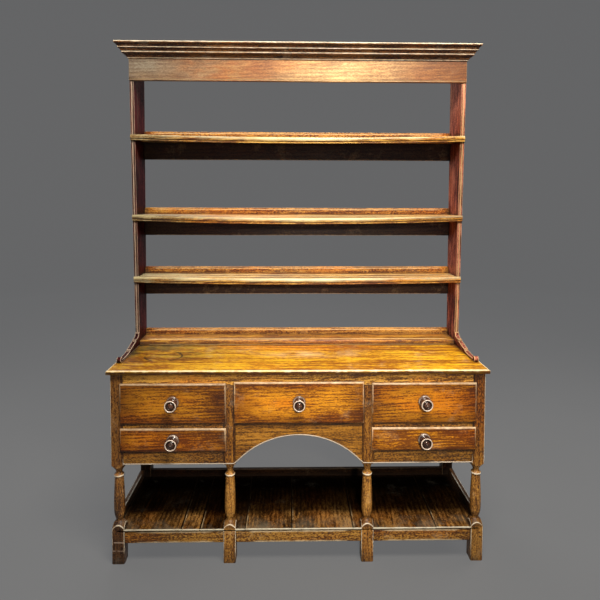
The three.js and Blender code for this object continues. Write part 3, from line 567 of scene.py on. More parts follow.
usualOak = {
    # what a look below leaves out; colours are linear red, green and blue
    "rings": 0.35, "streaks": 1.8, "flecks": 2.6, "mottle": 0.55, "contrast": 1.45, "lean": 0.03,
    "stretch": (1, 1, 1), "smear": (1, 1, 1), "worn": (0.55, 0.38, 0.21), "grime": (0.018, 0.010, 0.006),
    "edge": 0.6, "corner": 0.75, "scuffs": 0.3, "rough": 0.42, "bump": 0.35, "gloss": 0.4, "coat": 0.08,
    "coatRough": 0.22,
}
woodLooks = {
    "frame": {"dark": (0.055, 0.020, 0.005), "mid": (0.180, 0.074, 0.012), "light": (0.380, 0.175, 0.028),
              "rings": 0.20, "edge": 0.5, "corner": 0.95, "contrast": 1.25},
    "leg": {"dark": (0.080, 0.028, 0.007), "mid": (0.355, 0.150, 0.026), "light": (0.620, 0.320, 0.070),
            "rings": 0.15, "corner": 0.5, "worn": (0.88, 0.76, 0.58), "edge": 0.95, "contrast": 1.15},
    "drawer": {"dark": (0.165, 0.046, 0.003), "mid": (0.410, 0.142, 0.007), "light": (0.740, 0.310, 0.016),
               "rings": 0.22, "worn": (0.80, 0.58, 0.36), "edge": 0.9, "rough": 0.40, "streaks": 2.4,
               "flecks": 1.3, "stretch": (1.0, 1.35, 1.35)},
    "top": {"dark": (0.270, 0.085, 0.004), "mid": (0.640, 0.275, 0.007), "light": (0.930, 0.530, 0.018),
            "rings": 0.24, "worn": (0.95, 0.80, 0.52), "edge": 0.95, "rough": 0.34, "scuffs": 0.35,
            "coat": 0.05, "gloss": 0.30, "mottle": 1.3, "contrast": 1.5, "streaks": 3.6, "flecks": 1.6,
            "stretch": (0.45, 0.7, 1.0)},
    "rack": {"dark": (0.010, 0.001, 0.002), "mid": (0.030, 0.002, 0.004), "light": (0.088, 0.014, 0.014),
             "rings": 0.2, "worn": (0.52, 0.40, 0.30), "edge": 0.8, "gloss": 0.08, "coat": 0.0,
             "streaks": 3.0, "smear": (1, 1, 0.15)},
    "shelf": {"dark": (0.120, 0.038, 0.006), "mid": (0.400, 0.170, 0.018), "light": (0.690, 0.400, 0.085),
              "rings": 0.25, "worn": (0.80, 0.72, 0.42), "edge": 0.9, "rough": 0.38, "streaks": 3.0,
              "flecks": 1.2, "smear": (0.16, 1, 1)},
    "rail": {"dark": (0.110, 0.026, 0.005), "mid": (0.400, 0.140, 0.018), "light": (0.700, 0.340, 0.065),
             "rings": 0.3, "worn": (0.84, 0.60, 0.32), "gloss": 0.25, "coat": 0.0},
    "frieze": {"dark": (0.150, 0.062, 0.022), "mid": (0.275, 0.120, 0.040), "light": (0.440, 0.225, 0.080),
               "rings": 0.30, "contrast": 1.0, "flecks": 1.4, "rough": 0.40, "gloss": 0.35},
    "cornice": {"dark": (0.018, 0.005, 0.002), "mid": (0.088, 0.031, 0.010), "light": (0.240, 0.105, 0.034),
                "rings": 0.15, "corner": 1.0, "worn": (0.96, 0.82, 0.60), "edge": 1.0, "rough": 0.32},
    "potBoard": {"dark": (0.014, 0.006, 0.002), "mid": (0.078, 0.034, 0.009), "light": (0.230, 0.115, 0.030),
                 "rings": 0.25, "worn": (0.62, 0.58, 0.46), "edge": 0.9, "scuffs": 0.05, "corner": 1.0,
                 "contrast": 1.15, "rough": 0.80, "coat": 0.0, "gloss": 0.0, "streaks": 0.9, "flecks": 1.2,
                 "mottle": 1.8},
    "inside": {"dark": (0.110, 0.060, 0.028), "mid": (0.230, 0.135, 0.065), "light": (0.360, 0.230, 0.120),
               "worn": (0.45, 0.31, 0.18), "edge": 0.35, "rough": 0.72, "coat": 0.0, "corner": 0.5,
               "gloss": 0.3},
    "knob": {"dark": (0.014, 0.005, 0.003), "mid": (0.050, 0.019, 0.011), "light": (0.160, 0.072, 0.038),
             "rings": 0.1, "worn": (0.80, 0.66, 0.55), "edge": 0.9, "rough": 0.20, "coat": 0.8,
             "coatRough": 0.10, "corner": 0.9, "bump": 0.1, "contrast": 1.0},
}


def toned(look, factor, *others):
    # the same wood, darker or lighter
    keys = ("dark", "mid", "light") + others
    return {**look, **{key: tuple(channel * factor for channel in look[key]) for key in keys}}


def oak(name, look, grain="X", offset=(0, 0, 0), marks=None):
    # offset picks another part of the tree, marks paints stains over the grain
    material = bpy.data.materials.new(name)
    material.use_nodes = True
    tree = material.node_tree
    add = nodeMaker(tree)
    values = {**usualOak, **look}
    for key in ("dark", "mid", "light", "worn", "grime"):
        values[key] = (*values[key], 1)

    def given(*labels):
        return {label: values[label.lower()] for label in labels}

    place = add("ShaderNodeTexCoord").outputs["Object"]
    turned = add("ShaderNodeMapping", {"Vector": place, "Rotation": grainTurns[grain]}).outputs[0]
    lean = (0, values["lean"], values["lean"])
    turned = add("ShaderNodeMapping", {"Vector": turned, "Location": offset, "Rotation": lean,
                                       "Scale": values["stretch"]}).outputs[0]
    amounts = given("Dark", "Mid", "Light", "Rings", "Streaks", "Flecks", "Mottle", "Contrast")
    figure = add("ShaderNodeGroup", {"Vector": turned, **amounts}, node_tree=oakFigure).outputs
    colour = marks(add, place, figure["Color"]) if marks else figure["Color"]
    amounts = given("Worn", "Grime", "Edge", "Corner", "Scuffs")
    surface = add("ShaderNodeGroup", {"Vector": stretched(add, place, values["smear"]), "Color": colour,
                                      **amounts}, node_tree=oldSurface).outputs
    rough = span(add, figure["Tone"], 0.0, 1.0, values["rough"] + 0.06, values["rough"] - 0.06)
    relief = calc(add, "MULTIPLY_ADD", surface["Height"], 0.7, figure["Height"])
    bump = add("ShaderNodeBump", {"Height": relief, "Strength": values["bump"], "Distance": 0.0012})
    wire(tree, tree.nodes["Principled BSDF"], {
        "Base Color": surface["Color"], "Roughness": calc(add, "ADD", rough, surface["Rough"], clamp=True),
        "Normal": bump.outputs[0], "Specular IOR Level": values["gloss"], "Coat Weight": values["coat"],
        "Coat Roughness": values["coatRough"]})
    return material


print("oak surfaces ready")

# Front legs: one turned piece each, kept square where the stock was left uncut

hands = {"left": -1, "right": 1}
mm = 0.001
gap = 0.3 * mm  # play between neighbouring pieces
legStock = 48 * mm
halfStock = legStock / 2
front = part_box("top_rail")[0].y
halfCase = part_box("dresser_top")[1].x - 12 * mm
outerAcross = halfCase - halfStock
legInside = halfCase - legStock

legSettings = {
    "innerAcross": 0.275, "innerTop": 0.7195, "caseBottom": 0.404, "footBlock": 0.141, "ankle": 0.172,
    "ankleRadius": 0.0134, "belly": 0.0214, "column": 0.0172, "neck": 0.0125, "arris": 0.0016, "steps": 64,
    "shoulderZone": (0.139, 0.170), "ringZone": (0.350, 0.358), "ringEdge": 0.0185, "footWear": 0.004,
    "darkLook": {"dark": (0.06, 0.022, 0.008), "mid": (0.290, 0.125, 0.030), "light": (0.52, 0.27, 0.08)},
}
legShades = {
    "besideLipShade": (0.18, 0.13, 0.11), "square": (0.62, 0.54, 0.40), "shoulder": (0.30, 0.26, 0.26),
    "foot": (0.16, 0.17, 0.24), "darkFoot": (0.30, 0.24, 0.30), "rubbedLine": (0.50, 0.36, 0.27),
    "rubbedHeights": (0.088, 0.054),
}
bayIn = legSettings["innerAcross"] + halfStock


def legProfile(top, inner):
    # radius and height from the floor up: foot block, bulb, column, ring, neck and the square part above
    s = legSettings
    corner = halfStock * math.sqrt(2)
    points = [(0, 0), (corner * 0.93, 0), (corner, 0.002), (corner, 0.07), (corner, s["footBlock"])]
    points = softly(points, [(0.0300, 0.1485), (0.0240, 0.1575), (0.0180, 0.1655), (0.0142, 0.1700),
                             (s["ankleRadius"], s["ankle"])], 5)
    points = softly(points, [(0.0137, 0.1760), (0.0165, 0.1835), (0.0196, 0.1960), (0.0210, 0.2110),
                             (s["belly"], 0.2350), (0.0209, 0.2650), (0.0194, 0.3000), (0.0181, 0.3250),
                             (s["column"], 0.3440)], 5)
    points += [(0.0158, 0.3448), (0.0158, 0.3465), (0.0172, 0.3470)]
    points += [(0.0172 + 0.0024 * math.sin(math.pi * i / 8), 0.3470 + 0.0120 * i / 8) for i in range(1, 9)]
    points += [(0.0150, 0.3600), (0.0138, 0.3615)]
    if inner:
        points = softly(points, [(s["neck"], 0.3660), (0.0126, 0.3730), (0.0140, 0.3800), (0.0172, 0.3900),
                                 (0.0188, 0.3965), (0.0193, 0.4008)], 4)
        points += [(0.0193, 0.4025), (corner * 0.97, 0.4025), (corner, 0.4042)]
    else:
        points = softly(points, [(s["neck"], 0.3650), (0.0126, 0.3700), (0.0150, 0.3760), (0.0195, 0.3830),
                                 (0.0240, 0.3885), (0.0290, 0.3945), (corner, 0.4010)], 5)
    return points + [(corner, 0.46), (corner, 0.56), (corner, 0.66), (corner, top), (0, top)]


def makeFrontLeg(hand, side, kind, finish):
    s = legSettings
    node = f"front_leg_{kind}_{hand}"
    inner = kind == "inner"
    top = s["innerTop"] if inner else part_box(node)[1].z
    centre = Vector((side * (s["innerAcross"] if inner else outerAcross), front + halfStock, 0))
    bm = bmesh.new()
    lathe(bm, legProfile(top, inner), centre, Vector((0, 0, 1)), s["steps"])
    wear = wearLayer(bm)
    for vert in bm.verts:
        # what stands outside the stock is cut back to its four faces, and the cut's rim is rubbed
        reach = max(abs(vert.co.x - centre.x), abs(vert.co.y - centre.y))
        if s["shoulderZone"][0] < vert.co.z < s["shoulderZone"][1]:
            vert[wear] = max(0.0, 1.1 - abs(reach - halfStock) / 0.0030)
        vert.co.x = min(max(vert.co.x, centre.x - halfStock), centre.x + halfStock)
        vert.co.y = min(max(vert.co.y, centre.y - halfStock), centre.y + halfStock)
    bmesh.ops.remove_doubles(bm, verts=bm.verts, dist=1e-5)
    arrises = [e for e in bm.edges if e.is_manifold and e.calc_face_angle() > math.radians(55)
               and abs((e.verts[0].co - e.verts[1].co).z) > 0.9 * e.calc_length()]
    for face in bevelled(bm, arrises, s["arris"], 2):
        for vert in face.verts:
            atEnd = abs(vert.co.x) > halfCase - 0.003
            vert[wear] = 1.0 if atEnd or vert.co.z < s["caseBottom"] else 0.0
    for vert in bm.verts:
        reach = math.hypot(vert.co.x - centre.x, vert.co.y - centre.y)
        if s["ringZone"][0] < vert.co.z < s["ringZone"][1] and reach > s["ringEdge"]:
            vert[wear] = 1.0
        if vert.co.z < s["footWear"]:
            vert[wear] = 0.3
            vert.co.x += 0.0012 * noise.noise(vert.co * 60)
    addPiece(f"frontLeg.{node}", bm, finish, [node], smooth=38)


def dustAndLipShade(add, place, colour):
    # feet are greyed and darker close to the floor, the square part between the drawers is darker too, with
    # painted shade along its edges beside the drawer lips
    s = legShades
    at = axes(add, place)
    across = calc(add, "ABSOLUTE", at["X"])
    inner = gapTo(add, across, legSettings["innerAcross"])
    outer = gapTo(add, across, outerAcross)
    # painted shade on the stile's edges beside the drawer lips
    lipShade = times(add, span(add, calc(add, "MINIMUM", inner, outer), 0.0130, 0.0170),
                   span(add, at["Z"], 0.405, 0.415, 0.0, 0.75), span(add, across, 0.720, 0.716))
    colour = tinted(add, lipShade, colour, s["besideLipShade"])
    colour = tinted(add, span(add, at["Z"], 0.385, 0.405), colour, s["square"])
    shoulder = span(add, gapTo(add, at["Z"], 0.157), 0.020, 0.013, 0.0, 0.8)
    colour = tinted(add, shoulder, colour, s["shoulder"])
    blotch = span(add, cloudy(add, place, 22.0, 4.0), 0.25, 0.6, 0.0, 0.6)
    return tinted(add, times(add, span(add, at["Z"], 0.17, 0.02), blotch), colour, s["foot"])


def darkFoot(add, place, colour):
    # the left foot is nearly black, with two pale rubbed lines
    colour = dustAndLipShade(add, place, colour)
    up = axes(add, place)["Z"]
    blotch = span(add, cloudy(add, place, 45.0, 3.0), 0.36, 0.5, 0.0, 0.85)
    colour = tinted(add, span(add, up, 0.150, 0.140, 0.0, 0.8), colour, legShades["darkFoot"])
    for height in legShades["rubbedHeights"]:
        line = times(add, span(add, gapTo(add, up, height), 0.0036, 0.0016), blotch)
        colour = covered(add, line, colour, legShades["rubbedLine"])
    return colour


for hand, side in hands.items():
    for kind, shift in (("outer", 0.9), ("inner", 0.0)):
        dark = kind == "outer" and hand == "left"
        look = {**woodLooks["leg"], **legSettings["darkLook"]} if dark else woodLooks["leg"]
        offset = (0.37 * side + shift, 0.06, 0.05 * side)
        finish = oak(f"legOak.{kind}.{hand}", look, "Z", offset, darkFoot if dark else dustAndLipShade)
        makeFrontLeg(hand, side, kind, finish)
print("front legs turned")

# Case: rear legs, rails, apron and end boards

caseLooks = {
    # what each piece changes on the frame's oak
    # near black: painted shade, standing for the shadow at the back of the case
    "rearLeg": {"dark": (0.006, 0.003, 0.002), "mid": (0.020, 0.009, 0.005), "light": (0.07, 0.03, 0.012),
                "edge": 0.2, "gloss": 0.15, "coat": 0.0},
    "rail": {"mid": (0.23, 0.095, 0.014), "light": (0.46, 0.22, 0.034)},
    "topRail": {"dark": (0.13, 0.050, 0.010), "mid": (0.52, 0.230, 0.034), "light": (0.86, 0.46, 0.080),
                "contrast": 1.9, "streaks": 3.0, "flecks": 1.6},
    "apron": {"mid": (0.255, 0.102, 0.010), "light": (0.48, 0.215, 0.028), "streaks": 3.2, "flecks": 1.4},
    "bead": {"worn": (0.54, 0.47, 0.38), "edge": 0.85, "corner": 0.3},
    "endBoard": {},
    "potEndRail": {"mid": (0.06, 0.025, 0.008), "light": (0.16, 0.07, 0.02), "edge": 1.0,
                   "worn": (0.80, 0.76, 0.66)},
    # near black: painted shade at the back of the pot board
    "potRearRail": {"dark": (0.004, 0.002, 0.001), "mid": (0.009, 0.004, 0.002),
                    "light": (0.03, 0.013, 0.005), "edge": 0.05, "gloss": 0.1, "coat": 0.0},
    "peg": {"mid": (0.09, 0.035, 0.012), "edge": 0.3},
}


def caseOak(name, piece, grain, offset=(0, 0, 0), marks=None, tone=1.0):
    return oak(name, toned({**woodLooks["frame"], **caseLooks[piece]}, tone), grain, offset, marks)


def paintedLipShadow(height, depth):
    # painted shadow just below the drawer lips
    def marks(add, place, colour):
        lipShadow = span(add, axes(add, place)["Z"], height - depth, height - 0.35 * depth, 0.0, 0.8)
        return tinted(add, lipShadow, colour, lipShadowTint)
    return marks


# the colour of the painted shadow under the drawer lips
lipShadowTint = (0.14, 0.10, 0.09)
railSettings = {
    # name: the drawer above it, and how light its wood is
    "divider": ("upper", 1.35),
    "bottom": ("lower", 0.84),
}

for hand, side in hands.items():
    finish = caseOak(f"rearLegOak.{hand}", "rearLeg", "Z", (side, 0.3, 0), dustAndLipShade)
    boardPiece(f"rearLeg.{hand}", *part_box(f"rear_leg_{hand}"), finish, "frame", [f"rear_leg_{hand}"], "Z", 4)
    for level, (drawer, tone) in railSettings.items():
        low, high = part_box(f"{level}_rail_{hand}")
        low.x, high.x = sorted((side * (bayIn + gap), side * (legInside - gap)))
        low.y = front
        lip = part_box(f"drawer_front_{hand}_{drawer}")[0].z
        finish = caseOak(f"{level}RailOak.{hand}", "rail", "X", (0.4 * side, 0.05, low.z),
                         paintedLipShadow(lip, 0.010), tone)
        boardPiece(f"{level}Rail.{hand}", low, high, finish, "frame", [f"{level}_rail_{hand}"],
                   soften=0.001)

low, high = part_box("top_rail")
low.x, high.x = -legInside + gap, legInside - gap
finish = caseOak("topRailOak", "topRail", "X", (0.2, 0.07, 0.4))
boardPiece("topRail", low, high, finish, "frame", ["top_rail"], cuts=6)

archSettings = {"rise": 0.112, "foot": 0.005, "steps": 36, "beadRadius": 0.0022}
archHalf = legSettings["innerAcross"] - halfStock


def archCurve(bottom, inset=0.0):
    rise = archSettings["rise"]
    radius = (archHalf ** 2 + rise ** 2) / (2 * rise)
    reach = math.degrees(math.asin((archHalf - inset) / radius))
    return arcPoints((0, bottom + rise - radius), radius, 90 + reach, 90 - reach, archSettings["steps"])


def makeApron():
    # swept from side to side: its lower edge follows the arch
    low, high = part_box("arched_apron")
    rings = [[Vector((x, front, z)), Vector((x, front, high.z)), Vector((x, high.y, high.z)),
              Vector((x, high.y, z))] for x, z in archCurve(low.z, gap)]
    bm = bmesh.new()
    sweptOutline(bm, rings)
    ease(bm, 0.0012, 0.003, 2, 40, butt="X")
    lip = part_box("drawer_front_centre")[0].z
    finish = caseOak("apronOak", "apron", "X", (0.1, 0.3, 0.2), paintedLipShadow(lip, 0.018))
    addPiece("archedApron", bm, finish, ["arched_apron"])


def makeLowerBead():
    # small bead planted along the lower edge of the rails and round the arch
    radius = archSettings["beadRadius"]
    bottom = legSettings["caseBottom"] + radius
    arch = archCurve(legSettings["caseBottom"] + archSettings["foot"])
    path = [(-legInside, bottom), (-archHalf - 0.006, bottom)]
    path += [(x, z) for x, z in arch if abs(x) < archHalf - 0.004]
    path += [(archHalf + 0.006, bottom), (legInside, bottom)]
    data = bpy.data.curves.new("lowerBead", "CURVE")
    data.dimensions = "3D"
    data.bevel_depth = radius
    data.bevel_resolution = 3
    data.use_fill_caps = True
    spline = data.splines.new("POLY")
    spline.points.add(len(path) - 1)
    for point, (x, z) in zip(spline.points, path):
        point.co = (x, front + 0.0002, z, 1)
    holder = bpy.data.objects.new("lowerBeadCurve", data)
    scene.collection.objects.link(holder)
    mesh = bpy.data.meshes.new_from_object(holder)
    bpy.data.objects.remove(holder)
    bm = bmesh.new()
    bm.from_mesh(mesh)
    bpy.data.meshes.remove(mesh)
    cleaned(bm, 1e-6)
    wear = wearLayer(bm)
    for vert in bm.verts:
        vert[wear] = 1.1 if vert.co.y < front else 0.4
    addPiece("lowerBead", bm, caseOak("beadOak", "bead", "X"))


def makeEndBoard(hand, side):
    # two boards, one above the other
    low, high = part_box(f"end_board_{hand}")
    low.y, high.y = front + legStock + gap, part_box(f"rear_leg_{hand}")[0].y - gap
    bm = bmesh.new()
    for bottom, top in twoParts(low.z, high.z, low.z + (high.z - low.z) * 0.46, 0.0004):
        joinPlank(bm, (low.x, low.y, bottom), (high.x, high.y, top), "Y", 3, 0.001, 0.005)
    finish = caseOak(f"endBoardOak.{hand}", "endBoard", "Y", (0.3 * side, 0.1, 0.3))
    addPiece(f"endBoard.{hand}", bm, finish, [f"end_board_{hand}"])


makeApron()
makeLowerBead()
for hand, side in hands.items():
    makeEndBoard(hand, side)
print("case framed")

# Dresser top: two boards with a rounded front and end edges

topSettings = {
    "joint": 0.042, "seam": 0.0003, "round": 0.0065, "cuts": 40, "hollow": 0.0006, "frontHollow": 0.0010,
}
topStains = {
    "leftTint": (0.40, 0.38, 1.0), "patchTint": (0.22, 0.34, 1.4), "knotTint": (0.35, 0.28, 0.5),
    # the next line holds the painted shade under the front nose, and the place and colour of a painted glare
    # streak
    "noseShade": (0.10, 0.07, 0.1), "glareAt": (0.05, -0.01, 0.78), "rubbed": (0.92, 0.66, 0.40),
    "ringAt": (-0.575, -0.03, 0.78), "ringRadius": 0.078, "ring": (0.020, 0.010, 0.006),
}


def makeTopBoard(low, high, near, far):
    s = topSettings
    part = bmesh.new()
    plank(part, (low.x, near, low.z), (high.x, far, high.z), "X", s["cuts"])
    cleaned(part, 1e-6)
    for vert in part.verts:
        if vert.co.z > high.z - 1e-5:
            vert.co.z -= s["hollow"] * dip(vert.co, 3.1)
        if vert.co.y < low.y + 1e-5:
            vert.co.y += s["frontHollow"] * dip(vert.co, 5.0)
    outer = []
    for edge in part.edges:
        a, b = edge.verts[0].co, edge.verts[1].co
        onTop = min(a.z, b.z) > high.z - 0.002
        atFront = max(a.y, b.y) < low.y + 0.002
        atEnd = min(abs(a.x), abs(b.x)) > high.x - 0.0001
        if onTop and (atFront or atEnd) and edge.calc_face_angle(0) > 0.6:
            outer.append(edge)
    wear = wearLayer(part)
    rounded = bevelled(part, outer, s["round"], 5)
    for vert in [vert for face in rounded for vert in face.verts]:
        vert[wear] = 0.85 if vert.co.z > high.z - 0.004 else 0.45
    surface = [face for face in part.faces if face.normal.z > 0.9 and face not in set(rounded)]
    insetUnworn(part, surface, 0.003, wear)
    return part


def topMarks(add, place, colour):
    # darker left end with greenish patches, golden middle, painted shade under the front nose, a painted pale
    # glare streak and an old ring stain
    s = topStains
    low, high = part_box("dresser_top")
    thick = high.z - low.z
    at = axes(add, place)
    blotch = cloudy(add, place, 12.0, 4.0, 0.65)
    left = swayed(add, at["X"], cloudy(add, place, 3.0, 4.0, 0.6), 0.5)
    colour = tinted(add, span(add, left, -0.15, -0.75, 0.0, 0.70), colour, s["leftTint"])
    patches = times(add, span(add, left, -0.25, -0.60), span(add, at["Y"], -0.14, 0.0),
                    span(add, blotch, 0.40, 0.58, 0.0, 0.9))
    colour = tinted(add, patches, colour, s["patchTint"])
    knots = times(add, span(add, left, 0.0, -0.5), span(add, blotch, 0.60, 0.70, 0.0, 0.7))
    colour = tinted(add, knots, colour, s["knotTint"])
    # painted shade on the lower half of the front nose
    nose = times(add, span(add, at["Y"], low.y + 0.010, low.y + 0.002),
                 span(add, at["Z"], low.z + 0.78 * thick, low.z + 0.62 * thick, 0.0, 0.93))
    colour = tinted(add, nose, colour, s["noseShade"])
    # painted reflection: a pale glare streak laid into the colour
    fromGlare = distanceTo(add, place, s["glareAt"], (4.2, 17, 0))
    rubbed = times(add, span(add, fromGlare, 1.1, 0.2), span(add, blotch, 0.35, 0.6, 0.0, 0.55))
    colour = covered(add, rubbed, colour, s["rubbed"])
    ring = distanceTo(add, place, s["ringAt"], (1.0, 1.12, 0))
    ring = gapTo(add, swayed(add, ring, cloudy(add, place, 9.0, 3.0), 0.03), s["ringRadius"])
    mark = times(add, span(add, ring, 0.006, 0.002), span(add, blotch, 0.36, 0.50, 0.0, 0.92))
    return covered(add, mark, colour, s["ring"])


low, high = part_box("dresser_top")
bm = bmesh.new()
for near, far in twoParts(low.y, high.y, topSettings["joint"], topSettings["seam"]):
    joinInto(bm, makeTopBoard(low, high, near, far))
addPiece("dresserTop", bm, oak("topOak", woodLooks["top"], "X", (0.3, 0.12, -0.55), topMarks),
         ["dresser_top"])
print("top laid")

# Pot board: rails, end rails and seven boards from front to back

potSettings = {
    "seams": (-0.468, -0.393, -0.214, -0.028, 0.218, 0.552),
    "tones": (0.90, 1.35, 0.65, 1.15, 1.35, 1.0, 1.45),
    "nodes": (("pot_board_1",), ("pot_board_2",), (), ("pot_board_3",), ("pot_board_4",), ("pot_board_5",),
              ("pot_board_6",)),
    "unevenness": 0.0004, "frontRim": 0.0045,
}
# under, middle and rear are the colours of painted shade
potShades = {
    "rubbed": (0.34, 0.26, 0.15), "seam": (0.003, 0.002, 0.001), "under": (0.010, 0.006, 0.004),
    "middle": (0.004, 0.002, 0.001), "rear": (0.0008, 0.0005, 0.0004), "dust": (0.23, 0.19, 0.13),
}
potRailLook = {
    **woodLooks["leg"], "mid": (0.25, 0.105, 0.016), "light": (0.50, 0.26, 0.05), "contrast": 1.9,
    "edge": 1.0, "scuffs": 0.55, "worn": (0.82, 0.64, 0.40),
}
potHalf = halfCase - 18 * mm - gap
potLow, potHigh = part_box("pot_board_1")


def potDustAndShade(add, place, colour):
    # pale dust and scuffs gather near the front edge; painted shade darkens the boards towards the rear and
    # just under the front edge
    s = potShades
    at = axes(add, place)
    cloud = cloudy(add, place, 9.0, 6.0, 0.7)
    # painted shadow line under the boards' front edge
    under = span(add, at["Z"], potHigh.z - 0.0045, potHigh.z - 0.0065, 0.0, 0.97)
    colour = covered(add, under, colour, s["under"])
    # painted shade of the case over the middle and rear of the boards
    rearward = swayed(add, at["Y"], cloud, 0.06)
    colour = covered(add, span(add, rearward, front + 0.085, front + 0.125, 0.0, 0.80), colour, s["middle"])
    colour = covered(add, span(add, rearward, front + 0.10, front + 0.30, 0.0, 0.98), colour, s["rear"])
    dust = span(add, at["Y"], front + 0.09, front + 0.005)
    dust = times(add, dust, span(add, cloud, 0.45, 0.65, 0.0, 0.5))
    return covered(add, dust, colour, s["dust"])


def boardMarks(low, high):
    # dark seams with one pale rubbed edge, then the dust and shade of the whole pot board
    def marks(add, place, colour):
        x = axes(add, place)["X"]
        patchy = span(add, cloudy(add, place, 30.0, 3.0), 0.42, 0.60, 0.0, 0.75)
        fromLeft = calc(add, "SUBTRACT", x, low)
        fromRight = calc(add, "SUBTRACT", high, x)
        rubbed = times(add, span(add, gapTo(add, fromLeft, 0.0052), 0.0028, 0.0012), patchy)
        colour = covered(add, rubbed, colour, potShades["rubbed"])
        seam = span(add, calc(add, "MINIMUM", fromLeft, fromRight), 0.0036, 0.0018, 0.0, 0.92)
        return potDustAndShade(add, place, covered(add, seam, colour, potShades["seam"]))
    return marks


def makePotBoard(i, left, right):
    s = potSettings
    lift = s["unevenness"] * (i % 3)
    bm = bmesh.new()
    plank(bm, (left - 0.0001, potLow.y, potLow.z), (right + 0.0001, potHigh.y, potHigh.z - lift), "Y", 8)
    ease(bm, 0.0022, 0.004)
    everything = list(bm.verts) + list(bm.edges) + list(bm.faces)
    bmesh.ops.bisect_plane(bm, geom=everything, plane_co=(0, potLow.y + s["frontRim"], 0),
                           plane_no=(0, 1, 0))
    wear = wearLayer(bm)
    for vert in bm.verts:
        vert[wear] = 1.0 if vert.co.y < potLow.y + 0.003 and vert.co.z > potHigh.z - 0.005 else 0.0
    look = toned(woodLooks["potBoard"], s["tones"][i])
    finish = oak(f"potBoardOak.{i + 1}", look, "Y", (0.31 * i, 0.17 * i, 0.05), boardMarks(left, right))
    addPiece(f"potBoard.{i + 1}", bm, finish, s["nodes"][i])


potEdges = [-potHalf, *potSettings["seams"], potHalf]
for i, (left, right) in enumerate(zip(potEdges, potEdges[1:])):
    makePotBoard(i, left, right)

innerGap = bayIn - legStock
for place, left, right in (("left", -legInside, -bayIn), ("centre", -innerGap, innerGap),
                           ("right", bayIn, legInside)):
    low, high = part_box(f"pot_rail_front_{place}")
    boardPiece(f"potRail.{place}", (left + gap, low.y, low.z), (right - gap, high.y, high.z),
               oak(f"potRailOak.{place}", potRailLook, "X", (left, 0.2, 0.3)), "frame",
               [f"pot_rail_front_{place}"], "X", 6, soften=0.0026, worn=0.009, sway=0.0006, seed=left)

for hand, side in hands.items():
    low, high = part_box(f"pot_rail_end_{hand}")
    low.y, high.y = front + legStock + gap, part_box(f"rear_leg_{hand}")[0].y - gap
    finish = caseOak(f"potEndOak.{hand}", "potEndRail", "Y", (side, 0.2, 0.1))
    boardPiece(f"potEndRail.{hand}", low, high, finish, "frame", [f"pot_rail_end_{hand}"], "Y", 4,
               soften=0.002)

low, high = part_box("pot_rail_rear")
low.x, high.x = -legInside + gap, legInside - gap
finish = caseOak("potRearOak", "potRearRail", "X", (0.5, 0.2, 0.1))
boardPiece("potRearRail", low, high, finish, "frame", ["pot_rail_rear"], cuts=6)
print("pot board laid")

# What carries the drawers, the back boards with their nails, and the pegs in the frame

backSettings = {
    "boards": 3, "seam": 0.0005, "nailsAcross": (-0.262, 0.288), "fromEnd": 0.02, "fromEdge": 0.03,
}
pegSettings = {
    # heights, and how far the outer ones stand from the corner
    "outer": (0.732, 0.755, 0.551, 0.568, 0.424, 0.448, 0.098, 0.117),
    "inner": (0.568, 0.551, 0.448, 0.424), "innerFoot": (0.098, 0.117), "end": (0.43, 0.59, 0.74),
    "fromCorner": 0.013,
}

insideOak = oak("insideOak", woodLooks["inside"], "Y", (0.2, 0.1, 0.3))
for hand in hands:
    for kind in ("outer", "inner"):
        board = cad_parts[f"{kind}_runner_board_{hand}"]
        board.data.materials.clear()
        board.data.materials.append(insideOak)


def makeBackBoard(i, bottom, top):
    s = backSettings
    low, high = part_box("back_board")
    low.x, high.x = -legInside + gap, legInside - gap
    bm = bmesh.new()
    plank(bm, (low.x, low.y, bottom + s["seam"]), (high.x, high.y, top - s["seam"]), "X", 10)
    wander(bm, 0.0005, 4, i, keep="XZ")
    ease(bm, 0.001, 0.004)
    for x in (low.x + s["fromEnd"], *s["nailsAcross"], high.x - s["fromEnd"]):
        for z in (bottom + s["fromEdge"], top - s["fromEdge"]):
            peg(bm, (x + 0.004 * i, high.y, z), (0, 1, 0), 0.0032, 0.0006)
    finish = oak(f"backOak.{i + 1}", woodLooks["inside"], "X", (0.4 * i, 0.2 * i, 0.1))
    addPiece(f"backBoard.{i + 1}", bm, finish, ["back_board"] if i == 0 else [])


def makePegs():
    s = pegSettings
    outer, inner = halfCase - s["fromCorner"], legSettings["innerAcross"]
    bm = bmesh.new()
    wearLayer(bm)
    for side in hands.values():
        for z in s["outer"]:
            peg(bm, (side * (outer + 0.002 * math.sin(z * 90)), front, z), (0, -1, 0))
        for z in s["inner"]:
            peg(bm, (side * (inner + 0.011), front, z), (0, -1, 0))
        for z in s["innerFoot"]:
            peg(bm, (side * (inner - 0.010), front, z), (0, -1, 0))
            peg(bm, (side * (inner + 0.010), front, z + 0.002), (0, -1, 0))
        for z in s["end"]:
            peg(bm, (side * halfCase, front + 0.012, z), (side, 0, 0))
    addPiece("jointPegs", bm, caseOak("pegOak", "peg", "Y"))


backLow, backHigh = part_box("back_board")
backSeams = evenStations(backLow.z, backHigh.z, backSettings["boards"])
for i, (bottom, top) in enumerate(zip(backSeams, backSeams[1:])):
    makeBackBoard(i, bottom, top)
makePegs()
print("back boards and pegs in")

# Drawers: a lipped front, a dovetailed box and a turned knob

